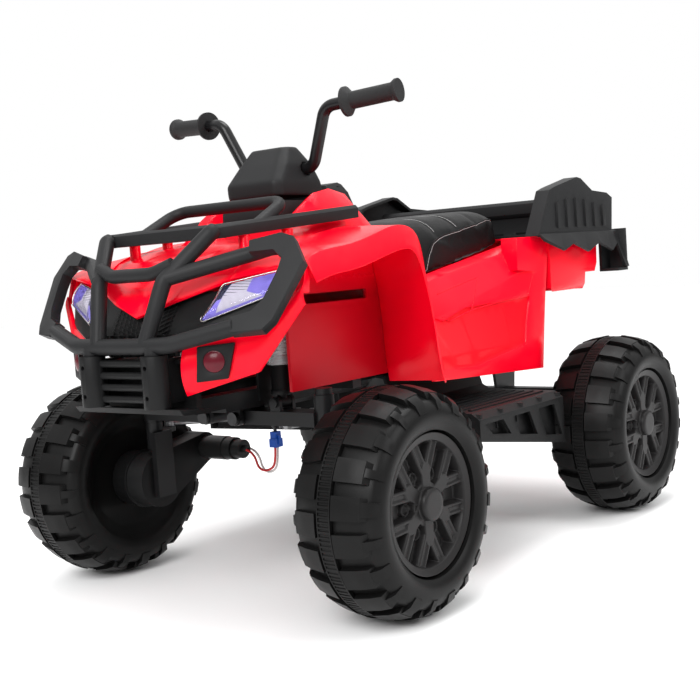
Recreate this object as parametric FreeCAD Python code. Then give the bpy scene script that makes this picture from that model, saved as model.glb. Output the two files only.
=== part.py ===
import FreeCAD
import Part
import math
import os

V = FreeCAD.Vector

# Millimetres, +Z up, front faces -Y, the rider's left is +X, floor at Z 0.

# Stance and wheels
TRACK = 572.0
WHEELBASE = 680.0
FRONT_AXLE_Y = -322.0
TYRE_R = 155.0
CARCASS_R = 147.0
TYRE_HALF = 68.0
TREAD_HALF = 59.0
TYRE_WALL = 4.0
BAND_HALF = 10.0
BAND_R = 152.0
LUG_COUNT = 20
LUG_ANGLE = 11.5
BLOCK_ANGLE = 7.5
CROWN_DROP = 13.0
RIM_R = 94.0
DISH_R = 74.0
DISH_DEPTH = 22.0
RECESS_DEPTH = 34.0
AXLE_R = 8.0
RUN = 0.06
SEAT_GAP = 0.3
SPOKES = 6
SPOKE_SPREAD = 17.0
FORK_R = 46.0
CAP_R = 22.0

# Frame
RAIL_X = 60.0
RAIL_W = 25.0
RAIL_H = 20.0
RAIL_Z = 286.0
RAIL_WALL = 2.0
RAIL_FRONT = -470.0
RAIL_TAIL = 62.0
FRONT_PLATE_T = 6.0

# Front suspension and steering
ARM_PIVOT_X = 30.0
ARM_PIVOT_Z = 262.0
ARM_BOLT_R = 6.0
ARM_HALF_Y = 18.0
ARM_H = 20.0
KINGPIN_X = 175.0
KINGPIN_R = 8.0
KINGPIN_SLEEVE_R = 14.0
SHOCK_X = 98.0
SHOCK_R = 14.0
SHOCK_PIN_Z = 284.0
SHOCK_TOP_Z = 352.0
SLEEVE_R = 16.0
SLEEVE_WALL = 2.0
SLEEVE_Z = 338.0
TOWER_Z = 388.0
SPRING_R = 10.0
SPRING_WIRE = 1.4
SPRING_TURNS = 5
COLUMN_Y = -205.0
COLUMN_R = 8.0
LEVER_X = 14.0
LEVER_Y = 45.0
LEVER_Z = 224.0
LEVER_T = 8.0
PIN_R = 4.0
ROD_R = 3.9
ROD_PLAY = 2.5
CRANK_LIFT = 2.8

# Drive units
GEAR_R = 43.0
GEAR_ARM_R = 24.0
GEAR_REACH = 100.0
GEAR_RISE = 35.0
GEAR_INNER_X = 166.3
GEAR_ARM_T = 40.0
GEAR_DISC_T = 69.0
MOTOR_R = 18.0
MOTOR_L = 94.0

# Handlebar
GRIP_Y = -168.0
GRIP_Z = 714.0
GRIP_END_X = 228.0
GRIP_IN_X = 139.0
GRIP_DROP = 6.0
BAR_R = 9.0
BAR_LOW_Z = 620.0
BAR_LOW_Y = -176.0
BAR_LOW_X = 66.0
BAR_HIGH_X = 106.0
BAR_HIGH_Y = -188.0
GRIP_R = 13.0
POD_Z = 578.0
POD_TOP = 655.0
POD_HALF = 56.0

# Red body
SHELL = 4.0
HOOD_HALF = 131.0
WALL_FOOT = 300.0
NOTCH_REAR = -336.0
NOTCH_TOP = 391.0
LIP_X = 244.0
CREASE_X = 236.0
LIP_DROP = 30.0
LIP_LEG = 7.0
FASCIA_IN = 94.0
RIDGE_X = 97.0
RIDGE_Z = 586.0
COWL_HALF = 60.0
COWL_FRONT = -255.0
COWL_REAR = -66.0
COWL_TOP = 572.0
DASH_TOP = 600.0
PANEL_FRONT = -92.0
PANEL_REAR = 289.5
PANEL_X = 203.0
PANEL_IN = 118.4
PANEL_STEP = 3.0
CORNER_TOP = 495.0
REAR_HALF = 207.0
REAR_TOP = 495.7
REAR_FRONT = 290.0
REAR_BACK = 478.0
RACK_HALF = 219.0
TRAY_FRONT = 318.0

# Floor
TUB_HALF = 118.0
TUB_FRONT = -85.0
TUB_REAR = 284.0
TUB_TOP = 400.0
BOARD_X = 282.0
BOARD_FRONT = -95.0
BOARD_CLEAR = 35.0
BOARD_Z = 239.0
BOARD_T = 5.0

# Front guard and rack
GUARD_R = 11.0
POST_X = 62.0
POST_Y = -524.0
BOSS_R = 18.0
BOSS_Z0 = 303.0
BOSS_Z1 = 372.0
RACK_Z = 528.0
RACK_FRONT = -429.0
RACK_IN = 27.0
RACK_BAR = 9.5
HOOP_Z = 567.0
HOOP_Y = -297.0

WHEEL_X = TRACK / 2
REAR_AXLE_Y = FRONT_AXLE_Y + WHEELBASE
RAIL_REAR = REAR_AXLE_Y + RAIL_TAIL
BOARD_REAR = REAR_AXLE_Y - TYRE_R - BOARD_CLEAR
BORE = AXLE_R + RUN
RECESS_X = TYRE_HALF - RECESS_DEPTH
DISH_X = -TYRE_HALF + DISH_DEPTH
RAIL_TOP = RAIL_Z + RAIL_H


def box(x0, x1, y0, y1, z0, z1):
    return Part.makeBox(x1 - x0, y1 - y0, z1 - z0, V(x0, y0, z0))


def rod(start, end, radius):
    span = end.sub(start)
    return Part.makeCylinder(radius, span.Length, start, span)


def mirrored(shape):
    return shape.mirror(V(0, 0, 0), V(1, 0, 0))


def joined(shapes):
    return shapes[0].multiFuse(shapes[1:]).removeSplitter()


def closed(points):
    return Part.makePolygon(points + [points[0]])


def prism(points, direction):
    return Part.Face(closed(points)).extrude(direction)


def prism_x(outline, x0, x1):
    return prism([V(x0, y, z) for y, z in outline], V(x1 - x0, 0, 0))


def prism_z(outline, z0, z1):
    return prism([V(x, y, z0) for x, y in outline], V(0, 0, z1 - z0))


def turned(outline):
    """Solid of revolution about the X axis from an outline of (x, radius)."""
    return Part.Face(closed([V(x, 0, r) for x, r in outline])).revolve(V(0, 0, 0), V(1, 0, 0), 360)


def offset_line(points, amount):
    """Polyline moved sideways by a mitred offset, left of travel when positive."""
    moved = []
    for i, (a, b) in enumerate(points):
        before = points[max(i - 1, 0)]
        after = points[min(i + 1, len(points) - 1)]
        normals = []
        for p, q in ((before, (a, b)), ((a, b), after)):
            length = math.hypot(q[0] - p[0], q[1] - p[1])
            if length > 1e-6:
                normals.append((-(q[1] - p[1]) / length, (q[0] - p[0]) / length))
        n = [sum(v[k] for v in normals) / len(normals) for k in (0, 1)]
        scale = amount / max(n[0] ** 2 + n[1] ** 2, 0.35)
        moved.append((a + n[0] * scale, b + n[1] * scale))
    return moved


def curve(points, smooth):
    if not smooth:
        return Part.makePolygon(points).Edges
    spline = Part.BSplineCurve()
    spline.interpolate(points)
    return [spline.toShape()]


def panel(axis, stations, thickness=SHELL, smooth=False):
    """Thin moulded panel lofted through outlines that lie in parallel planes."""
    wires = []
    for at, line in stations:
        inner = offset_line(line, -thickness)
        if axis == "x":
            outer_pts = [V(at, a, b) for a, b in line]
            inner_pts = [V(at, a, b) for a, b in inner]
        else:
            outer_pts = [V(a, at, b) for a, b in line]
            inner_pts = [V(a, at, b) for a, b in inner]
        edges = curve(outer_pts, smooth)
        edges.append(Part.LineSegment(outer_pts[-1], inner_pts[-1]).toShape())
        edges.extend(curve(inner_pts[::-1], smooth))
        edges.append(Part.LineSegment(inner_pts[0], outer_pts[0]).toShape())
        wires.append(Part.Wire(edges))
    return Part.makeLoft(wires, True, True)


def bent(points, radius):
    """Wire of straight runs joined by tangent arcs."""
    edges = []
    start = points[0]
    for i in range(1, len(points) - 1):
        here = points[i]
        d_in = points[i].sub(points[i - 1])
        d_out = points[i + 1].sub(points[i])
        run = min(d_in.Length, d_out.Length)
        half = d_in.getAngle(d_out) / 2
        bend = min(radius, 0.45 * run / math.tan(half))
        cut = bend * math.tan(half)
        d_in.normalize()
        d_out.normalize()
        a = here.sub(d_in * cut)
        b = here.add(d_out * cut)
        inward = d_out.sub(d_in)
        inward.normalize()
        middle = here.add(inward * (bend / math.cos(half) - bend))
        edges.append(Part.LineSegment(start, a).toShape())
        edges.append(Part.Arc(a, middle, b).toShape())
        start = b
    edges.append(Part.LineSegment(start, points[-1]).toShape())
    return Part.Wire(edges)


def tube(points, radius, bend):
    path = bent(points, bend)
    first = points[1].sub(points[0])
    ring = Part.Wire([Part.Circle(points[0], first, radius).toShape()])
    return path.makePipeShell([ring], True, False)


def plate_between(p, q, r_p, r_q, z0, z1):
    """Flat link with round ends."""
    along = V(q[0] - p[0], q[1] - p[1], 0)
    along.normalize()
    side = V(-along.y, along.x, 0)
    corners = []
    for (x, y), r, sign in ((p, r_p, 1), (q, r_q, 1), (q, r_q, -1), (p, r_p, -1)):
        corners.append((x + side.x * r * sign * 0.98, y + side.y * r * sign * 0.98))
    pieces = [prism_z(corners, z0, z1)]
    for (x, y), r in ((p, r_p), (q, r_q)):
        pieces.append(Part.makeCylinder(r, z1 - z0, V(x, y, z0)))
    return joined(pieces)


def octagon(z, half, y0, y1, corner):
    pts = [(half, y0 + corner), (half, y1 - corner), (half - corner, y1), (corner - half, y1)]
    pts += [(-half, y1 - corner), (-half, y0 + corner), (corner - half, y0), (half - corner, y0)]
    return closed([V(x, y, z) for x, y in pts])


# Wheels

def crown(x):
    """Radius of the carcass across its width, an arc from shoulder to shoulder."""
    r = (TREAD_HALF ** 2 + CROWN_DROP ** 2) / (2 * CROWN_DROP)
    return CARCASS_R - r + math.sqrt(r * r - x * x)


def make_tyre():
    """Hollow blow-moulded tyre, wheel mid-plane at X 0, outer face towards +X."""
    def section(inset):
        t = inset
        hub = BORE if t == 0 else 24.0
        shoulder = crown(TREAD_HALF)
        wall = (shoulder + RIM_R) / 2
        rim_edge = TYRE_HALF - 6.0
        pts = [V(DISH_X + t, 0, hub), V(DISH_X + t, 0, DISH_R + 0.4 * t)]
        pts.append(V(-TYRE_HALF + 8.0 + t, 0, RIM_R + 2.0 + 0.5 * t))
        left_mid = V(-TYRE_HALF + t, 0, wall)
        left_top = V(-TREAD_HALF + 0.8 * t, 0, shoulder - 0.8 * t)
        right_top = V(TREAD_HALF - 0.8 * t, 0, shoulder - 0.8 * t)
        right_mid = V(TYRE_HALF - t, 0, wall)
        right_low = V(rim_edge - t, 0, RIM_R + 3.0 + t)
        tail = [V(RECESS_X - t, 0, RIM_R + t), V(RECESS_X - t, 0, hub)]
        edges = Part.makePolygon(pts).Edges
        edges.append(Part.Arc(pts[-1], left_mid, left_top).toShape())
        edges.append(Part.Arc(left_top, V(0, 0, CARCASS_R - t), right_top).toShape())
        edges.append(Part.Arc(right_top, right_mid, right_low).toShape())
        edges.extend(Part.makePolygon([right_low] + tail + [pts[0]]).Edges)
        return Part.Face(Part.Wire(edges)).revolve(V(0, 0, 0), V(1, 0, 0), 360)

    carcass = section(0).cut(section(TYRE_WALL))
    low = CARCASS_R - 3.0
    ridge = turned([(-BAND_HALF, low), (-BAND_HALF, BAND_R), (BAND_HALF, BAND_R), (BAND_HALF, low)])
    inside = BAND_HALF + 3.0
    height = TYRE_R - crown(inside)
    shoulder = crown(TREAD_HALF)
    half_way = (inside + TREAD_HALF) / 2
    tread = [(inside, low), (inside, TYRE_R), (half_way, crown(half_way) + height),
             (TREAD_HALF - 8, crown(TREAD_HALF - 8) + height), (TREAD_HALF - 4, crown(TREAD_HALF - 4) + 1),
             (TREAD_HALF - 4, crown(TREAD_HALF - 4) - 2), (half_way, crown(half_way) - 2)]
    block = [(half_way + 4, crown(half_way + 4) - 2), (half_way + 4, crown(half_way + 4) + height - 1),
             (TREAD_HALF - 5, crown(TREAD_HALF - 5) + height - 1), (TREAD_HALF + 4, shoulder + 2),
             (TYRE_HALF, shoulder - 11), (TYRE_HALF - 4.0, shoulder - 13), (TREAD_HALF - 3, shoulder - 3)]
    lugs = []
    pitch = 360.0 / LUG_COUNT
    for side in (1, -1):
        for i in range(LUG_COUNT):
            centre = pitch * i + (pitch / 2 if side > 0 else 0)
            for outline, angle in ((tread, LUG_ANGLE), (block, BLOCK_ANGLE)):
                if outline is block and i % 2:
                    angle = angle * 0.6
                face = Part.Face(closed([V(side * x, 0, r) for x, r in outline]))
                lug = face.revolve(V(0, 0, 0), V(1, 0, 0), angle)
                lug.rotate(V(0, 0, 0), V(1, 0, 0), centre - angle / 2)
                lugs.append(lug)
    return carcass.multiFuse([ridge] + lugs)


def make_disc():
    """Wheel disc with twin spokes and a round cap, in the outer recess of the tyre."""
    floor = RECESS_X + SEAT_GAP
    edge = RIM_R - SEAT_GAP - 0.3
    nut_r = 15.0
    rim = turned([(floor, nut_r), (floor, edge), (floor + 24, edge), (floor + 21, edge - 9),
                  (floor + 5, edge - 15), (floor + 4, 34), (floor + 16, 30), (floor + 16, CAP_R - 2),
                  (floor + 6, nut_r)])
    cap = turned([(floor + 5, nut_r), (floor + 5, CAP_R), (floor + 26, CAP_R), (floor + 28, CAP_R - 3),
                  (floor + 28, 0), (floor + 23, 0), (floor + 23, nut_r)])
    spokes = []
    for i in range(SPOKES):
        middle = 360.0 / SPOKES * i + 90
        spokes.append(spoke_bar(floor, middle, CAP_R + 2, middle, FORK_R + 3, 9.5, 9.0, 18.0))
        for sign in (1, -1):
            spread = middle + sign * SPOKE_SPREAD
            spokes.append(spoke_bar(floor, middle + sign * 4, FORK_R - 3, spread, edge - 7, 5.5, 6.5, 16.0))
    return rim.multiFuse([cap] + spokes)


def spoke_bar(floor, from_angle, from_r, to_angle, to_r, from_half, to_half, height):
    """Tapered bar on the disc from one angle and radius to another, narrower at its top."""
    ends = []
    for angle, r in ((from_angle, from_r), (to_angle, to_r)):
        a = math.radians(angle)
        ends.append(V(0, math.cos(a) * r, math.sin(a) * r))
    along = ends[1].sub(ends[0])
    along.normalize()
    side = V(1, 0, 0).cross(along)
    wires = []
    for x, trim in ((floor + 2, 0.0), (floor + height - 3, 0.0), (floor + height, 2.2)):
        lift = V(x, 0, 0)
        ring = [ends[0] + side * (from_half - trim), ends[1] + side * (to_half - trim),
                ends[1] - side * (to_half - trim), ends[0] - side * (from_half - trim)]
        wires.append(closed([p + lift for p in ring]))
    return Part.makeLoft(wires, True, True)


# Drive units: axle along X at the origin of this local frame, reach is towards +Y

def make_gearbox(reach):
    centre = V(0, 0, 0)
    tip = V(0, reach, GEAR_RISE)
    along = tip.sub(centre)
    along.normalize()
    side = V(0, -along.z, along.y)
    quad = [centre + side * GEAR_R * 0.97, tip + side * GEAR_ARM_R * 0.97,
            tip - side * GEAR_ARM_R * 0.97, centre - side * GEAR_R * 0.97]
    arm = prism(quad, V(GEAR_ARM_T, 0, 0))
    disc = Part.makeCylinder(GEAR_R, GEAR_DISC_T, centre, V(1, 0, 0))
    end = Part.makeCylinder(GEAR_ARM_R, GEAR_ARM_T, tip, V(1, 0, 0))
    rim = Part.makeCylinder(GEAR_R + 3, 5, V(GEAR_ARM_T - 5, 0, 0), V(1, 0, 0))
    case = joined([arm, disc, end, rim])
    bore = Part.makeCylinder(AXLE_R + 0.1, GEAR_DISC_T + 2, V(-1, 0, 0), V(1, 0, 0))
    return case.cut(bore)


def make_motor(reach):
    start = V(-SEAT_GAP, reach, GEAR_RISE)
    can = Part.makeCylinder(MOTOR_R, MOTOR_L * 0.72, start, V(-1, 0, 0))
    band = Part.makeCylinder(MOTOR_R + 1.2, MOTOR_L * 0.4, start + V(-12, 0, 0), V(-1, 0, 0))
    cap = Part.makeCylinder(MOTOR_R - 3, MOTOR_L * 0.9, start, V(-1, 0, 0))
    boss = Part.makeCylinder(6.0, MOTOR_L, start, V(-1, 0, 0))
    return joined([can, band, cap, boss])


GEAR_AT_FRONT = V(GEAR_INNER_X, FRONT_AXLE_Y, TYRE_R)
GEAR_AT_REAR = V(GEAR_INNER_X, REAR_AXLE_Y, TYRE_R)
NUT_X = WHEEL_X + RECESS_X + SEAT_GAP


def axle_end(y):
    """Stub of the axle with its retaining nut, running outwards through the wheel."""
    inner = V(GEAR_INNER_X - 10, y, TYRE_R)
    stub = rod(inner, V(NUT_X + 12, y, TYRE_R), AXLE_R)
    nut = rod(V(NUT_X, y, TYRE_R), V(NUT_X + 8, y, TYRE_R), 13.0)
    return joined([stub, nut])


# Steering and suspension

KNUCKLE_PIN = (KINGPIN_X + LEVER_X, FRONT_AXLE_Y + LEVER_Y)
CRANK_PIN = (LEVER_X, COLUMN_Y + LEVER_Y)
EYE_Z0 = LEVER_Z + LEVER_T + 0.5
EYE_Z1 = EYE_Z0 + 7.5
SLEEVE_LOW = ARM_PIVOT_Z - 14.0
SLEEVE_HIGH = ARM_PIVOT_Z + 34.0
ARM_FRONT = FRONT_AXLE_Y - ARM_HALF_Y
ARM_BACK = FRONT_AXLE_Y + ARM_HALF_Y
ARM_Z0 = ARM_PIVOT_Z - ARM_H / 2
ARM_Z1 = ARM_PIVOT_Z + ARM_H / 2
BUSH_HALF = ARM_HALF_Y + 5.0
PLATE_Z0 = RAIL_Z - FRONT_PLATE_T


def make_knuckle():
    kx = KINGPIN_X
    ky = FRONT_AXLE_Y
    pin = rod(V(kx, ky, SLEEVE_LOW - 10), V(kx, ky, SLEEVE_HIGH + 4), KINGPIN_R)
    head = rod(V(kx, ky, SLEEVE_HIGH + 0.5), V(kx, ky, SLEEVE_HIGH + 9), 12.0)
    block = rod(V(kx, ky, TYRE_R + GEAR_R + 6), V(kx, ky, SLEEVE_LOW - 0.5), 13.0)
    inner = GEAR_INNER_X - SEAT_GAP
    cheek = box(inner - 10, inner, ky - 18, ky + 18, TYRE_R - 25, TYRE_R + GEAR_R + 34)
    lever = plate_between((kx, ky), KNUCKLE_PIN, 12.0, 9.0, LEVER_Z, LEVER_Z + LEVER_T)
    px, py = KNUCKLE_PIN
    stud = rod(V(px, py, LEVER_Z + 2), V(px, py, EYE_Z1 + 3), PIN_R)
    stud_head = rod(V(px, py, EYE_Z1 + 0.5), V(px, py, EYE_Z1 + 4), 7.0)
    return joined([pin, head, block, cheek, lever, stud, stud_head, axle_end(ky)])


def make_arm():
    beam = box(ARM_PIVOT_X, KINGPIN_X - 6, ARM_FRONT, ARM_BACK, ARM_Z0, ARM_Z1)
    hollow = box(ARM_PIVOT_X + 18, KINGPIN_X - 20, ARM_FRONT + 4, ARM_BACK - 4, ARM_Z0 - 1, ARM_Z1 - 3)
    middle = FRONT_AXLE_Y
    start = V(ARM_PIVOT_X, middle - BUSH_HALF, ARM_PIVOT_Z)
    bush = rod(start, start + V(0, 2 * BUSH_HALF, 0), ARM_BOLT_R + 5)
    sleeve = rod(V(KINGPIN_X, middle, SLEEVE_LOW), V(KINGPIN_X, middle, SLEEVE_HIGH), KINGPIN_SLEEVE_R)
    ears = []
    for y in (middle - 17, middle + 11):
        foot = box(SHOCK_X - 9, SHOCK_X + 9, y, y + 6, ARM_Z1 - 2, SHOCK_PIN_Z)
        top = rod(V(SHOCK_X, y, SHOCK_PIN_Z), V(SHOCK_X, y + 6, SHOCK_PIN_Z), 9.0)
        ears.extend([foot, top])
    bolt = rod(V(SHOCK_X, middle - 20, SHOCK_PIN_Z), V(SHOCK_X, middle + 20, SHOCK_PIN_Z), 4.0)
    nut = rod(V(SHOCK_X, middle - 21, SHOCK_PIN_Z), V(SHOCK_X, middle - 16, SHOCK_PIN_Z), 7.0)
    gusset = prism_x([(middle - 4, ARM_Z1 - 1), (middle + 4, ARM_Z1 - 1), (middle + 4, SLEEVE_HIGH - 6),
                      (middle - 4, SLEEVE_HIGH - 6)], KINGPIN_X - 16, KINGPIN_X)
    body = joined([beam.cut(hollow), bush, sleeve, gusset] + ears + [bolt, nut])
    pivot = rod(V(ARM_PIVOT_X, middle - 60, ARM_PIVOT_Z), V(ARM_PIVOT_X, middle + 60, ARM_PIVOT_Z),
                ARM_BOLT_R + RUN)
    king = rod(V(KINGPIN_X, middle, SLEEVE_LOW - 5), V(KINGPIN_X, middle, SLEEVE_HIGH + 5), KINGPIN_R + RUN)
    return body.cut(pivot).cut(king)


def make_shock_tube():
    y = FRONT_AXLE_Y
    eye = rod(V(SHOCK_X, y - 10.5, SHOCK_PIN_Z), V(SHOCK_X, y + 10.5, SHOCK_PIN_Z), 8.5)
    neck = rod(V(SHOCK_X, y, SHOCK_PIN_Z), V(SHOCK_X, y, SHOCK_PIN_Z + 16), 7.0)
    body = rod(V(SHOCK_X, y, SHOCK_PIN_Z + 12), V(SHOCK_X, y, SHOCK_TOP_Z), SHOCK_R)
    collar = rod(V(SHOCK_X, y, SHOCK_PIN_Z + 12), V(SHOCK_X, y, SHOCK_PIN_Z + 18), SHOCK_R + 2)
    well = rod(V(SHOCK_X, y, SHOCK_TOP_Z - 4), V(SHOCK_X, y, SHOCK_TOP_Z + 1), SHOCK_R - 2)
    bore = rod(V(SHOCK_X, y - 12, SHOCK_PIN_Z), V(SHOCK_X, y + 12, SHOCK_PIN_Z), 4.0 + RUN)
    return joined([eye, neck, body, collar]).cut(well).cut(bore)


def make_sleeve():
    y = FRONT_AXLE_Y
    top = TOWER_Z - SEAT_GAP
    outer = rod(V(SHOCK_X, y, SLEEVE_Z), V(SHOCK_X, y, top), SLEEVE_R + SLEEVE_WALL)
    ribs = []
    for i in range(4):
        z = SLEEVE_Z + 7 + 8.5 * i
        ribs.append(rod(V(SHOCK_X, y, z), V(SHOCK_X, y, z + 2.5), SLEEVE_R + SLEEVE_WALL + 0.9))
    inner = rod(V(SHOCK_X, y, SLEEVE_Z - 1), V(SHOCK_X, y, top - 3), SLEEVE_R)
    return joined([outer] + ribs).cut(inner)


def biarc(p, t, q, u):
    """Two tangent arcs from p heading t to q heading u."""
    v = q.sub(p)
    both = t.add(u)
    k = 2 * (1 - t.dot(u))
    d = (math.sqrt(v.dot(both) ** 2 + k * v.dot(v)) - v.dot(both)) / k
    middle = (p + q + (t - u) * d) * 0.5
    edges = []
    for a, b, heading in ((p, middle, t), (middle, q, None)):
        chord = b.sub(a)
        if heading is None:
            heading = chord.normalize() * (2 * chord.dot(u)) - u
            chord = b.sub(a)
        unit = b.sub(a)
        unit.normalize()
        across = heading - unit * heading.dot(unit)
        angle = math.atan2(across.Length, heading.dot(unit))
        across.normalize()
        bulge = a + chord * 0.5 + across * (chord.Length / 2 * math.tan(angle / 2))
        edges.append(Part.Arc(a, bulge, b).toShape())
    return edges


SPRING_Z0 = SHOCK_TOP_Z - 4 + SPRING_WIRE + 0.3
SPRING_Z1 = TOWER_Z - SEAT_GAP - 3 - SPRING_WIRE - 0.3


def make_spring():
    rise = (SPRING_Z1 - SPRING_Z0) / SPRING_TURNS
    steps = 6

    def at(turn):
        a = 2 * math.pi * turn
        here = V(SHOCK_X + SPRING_R * math.cos(a), FRONT_AXLE_Y + SPRING_R * math.sin(a),
                 SPRING_Z0 + rise * turn)
        heading = V(-math.sin(a) * 2 * math.pi * SPRING_R, math.cos(a) * 2 * math.pi * SPRING_R, rise)
        heading.normalize()
        return here, heading

    edges = []
    for i in range(SPRING_TURNS * steps):
        p, t = at(i / steps)
        q, u = at((i + 1) / steps)
        edges.extend(biarc(p, t, q, u))
    p, t = at(0)
    ring = Part.Wire([Part.Circle(p, t, SPRING_WIRE).toShape()])
    coil = Part.Wire(edges).makePipeShell([ring], True, True)
    print("spring: gap between turns", round(rise - 2 * SPRING_WIRE, 3), "volume", round(coil.Volume, 1),
          "section by length", round(math.pi * SPRING_WIRE ** 2 * Part.Wire(edges).Length, 1))
    return coil


def make_tie_rod():
    mid = (EYE_Z0 + EYE_Z1) / 2
    start = V(KNUCKLE_PIN[0], KNUCKLE_PIN[1], mid)
    end = V(CRANK_PIN[0], CRANK_PIN[1], mid + CRANK_LIFT)
    half = (EYE_Z1 - EYE_Z0) / 2
    bar = rod(start, end, ROD_R)
    eyes = []
    for p, r in ((start, 8.5), (end, PIN_R + ROD_PLAY + 4)):
        eyes.append(rod(p - V(0, 0, half), p + V(0, 0, half), r))
    body = joined([bar] + eyes)
    for p, r in ((start, PIN_R + RUN), (end, PIN_R + ROD_PLAY)):
        body = body.cut(rod(p - V(0, 0, half + 5), p + V(0, 0, half + 5), r))
    return body


def make_steering_shaft():
    shaft = rod(V(0, COLUMN_Y, LEVER_Z), V(0, COLUMN_Y, BAR_LOW_Z + 14), COLUMN_R)
    parts = [shaft]
    for side in (1, -1):
        pin = (side * CRANK_PIN[0], CRANK_PIN[1])
        parts.append(plate_between((0, COLUMN_Y), pin, 13.0, 9.0, LEVER_Z, LEVER_Z + LEVER_T))
        parts.append(rod(V(pin[0], pin[1], LEVER_Z + 2), V(pin[0], pin[1], EYE_Z1 + CRANK_LIFT + 6), PIN_R))
    parts.append(rod(V(0, COLUMN_Y, LEVER_Z), V(0, COLUMN_Y, LEVER_Z + 22), 12.0))
    collar_z = RAIL_TOP + 0.5 - 2
    parts.append(rod(V(0, COLUMN_Y, collar_z), V(0, COLUMN_Y, collar_z + 8), 13.0))
    parts.append(box(-20, 20, COLUMN_Y - 12, BAR_LOW_Y + 12.5, BAR_LOW_Z - 14, BAR_LOW_Z + 11))
    body = joined(parts)
    return body.cut(rod(V(-40, BAR_LOW_Y, BAR_LOW_Z), V(40, BAR_LOW_Y, BAR_LOW_Z), BAR_R + 0.05))


def bar_end():
    """Outer end of the grip and the direction of the last straight run."""
    outer = V(GRIP_END_X, GRIP_Y, GRIP_Z)
    along = outer.sub(V(BAR_HIGH_X, BAR_HIGH_Y, GRIP_Z - GRIP_DROP - 2))
    along.normalize()
    return outer, along


def bar_route():
    outer, along = bar_end()
    half = [V(BAR_LOW_X, BAR_LOW_Y, BAR_LOW_Z),
            V(BAR_HIGH_X, BAR_HIGH_Y, GRIP_Z - GRIP_DROP - 2),
            outer - along * 2.3]
    return [V(-p.x, p.y, p.z) for p in half[::-1]] + half


def make_grip():
    outer, along = bar_end()
    length = GRIP_END_X - GRIP_IN_X
    start = outer - along * length
    body = Part.makeCylinder(GRIP_R, length - 4, start, along)
    flange = Part.makeCylinder(GRIP_R + 9, 4, start, along)
    step = Part.makeCone(GRIP_R + 9, GRIP_R, 8, start + along * 4, along)
    end = Part.makeCylinder(GRIP_R + 4, 4, outer - along * 4, along)
    swell = Part.makeCone(GRIP_R, GRIP_R + 4, 7, outer - along * 11, along)
    bore = Part.makeCylinder(BAR_R + 0.1, length - 1, start - along, along)
    return joined([body, flange, step, end, swell]).cut(bore)


def make_pod():
    def stack(inset, low):
        k = inset
        rows = [(low, POD_HALF - k, COLUMN_Y - 43 + k, COLUMN_Y + 70 - k, 10.0),
                (POD_Z + 23, POD_HALF - k, COLUMN_Y - 45 + k, COLUMN_Y + 66 - k, 10.0),
                (POD_Z + 50, POD_HALF - 6 - k, COLUMN_Y - 24 + 1.4 * k, COLUMN_Y + 56 - k, 12.0),
                (POD_TOP - k, POD_HALF - 18 - k, COLUMN_Y - 1 + 1.4 * k, COLUMN_Y + 34 - 2 * k, 9.0)]
        return Part.makeLoft([octagon(*row) for row in rows], True, True)

    cover = stack(0, POD_Z).cut(stack(SHELL, POD_Z - 1))
    slot = rod(V(-90, BAR_LOW_Y, BAR_LOW_Z), V(90, BAR_LOW_Y, BAR_LOW_Z), BAR_R + 0.4)
    groove = box(-POD_HALF - 5, POD_HALF + 5, COLUMN_Y - 60, COLUMN_Y - 44, POD_Z + 9, POD_Z + 13)
    return cover.cut(slot).cut(groove)


# Red body

def hood_line(x):
    """Front-to-back outline of the hood at a distance x from the middle."""
    k = min(abs(x) / HOOD_HALF, 1.0)
    return [(-495 + 51 * k ** 1.5, 420 + 43 * k), (-470 + 34 * k, 455 + 16 * k),
            (-428 + 24 * k, 494 + 1 * k), (-362, 512 - 4 * k), (-300, 522 - 7 * k), (-236, 529 - 9 * k)]


def tank_line(crown, ridge, outer, edge):
    half = [(0, crown), (50, crown), (72, crown), (RIDGE_X - 12, ridge - 6), (RIDGE_X, ridge),
            (RIDGE_X + 18, outer), (HOOD_HALF, edge)]
    return [(-x, z) for x, z in half[:0:-1]] + half


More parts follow.
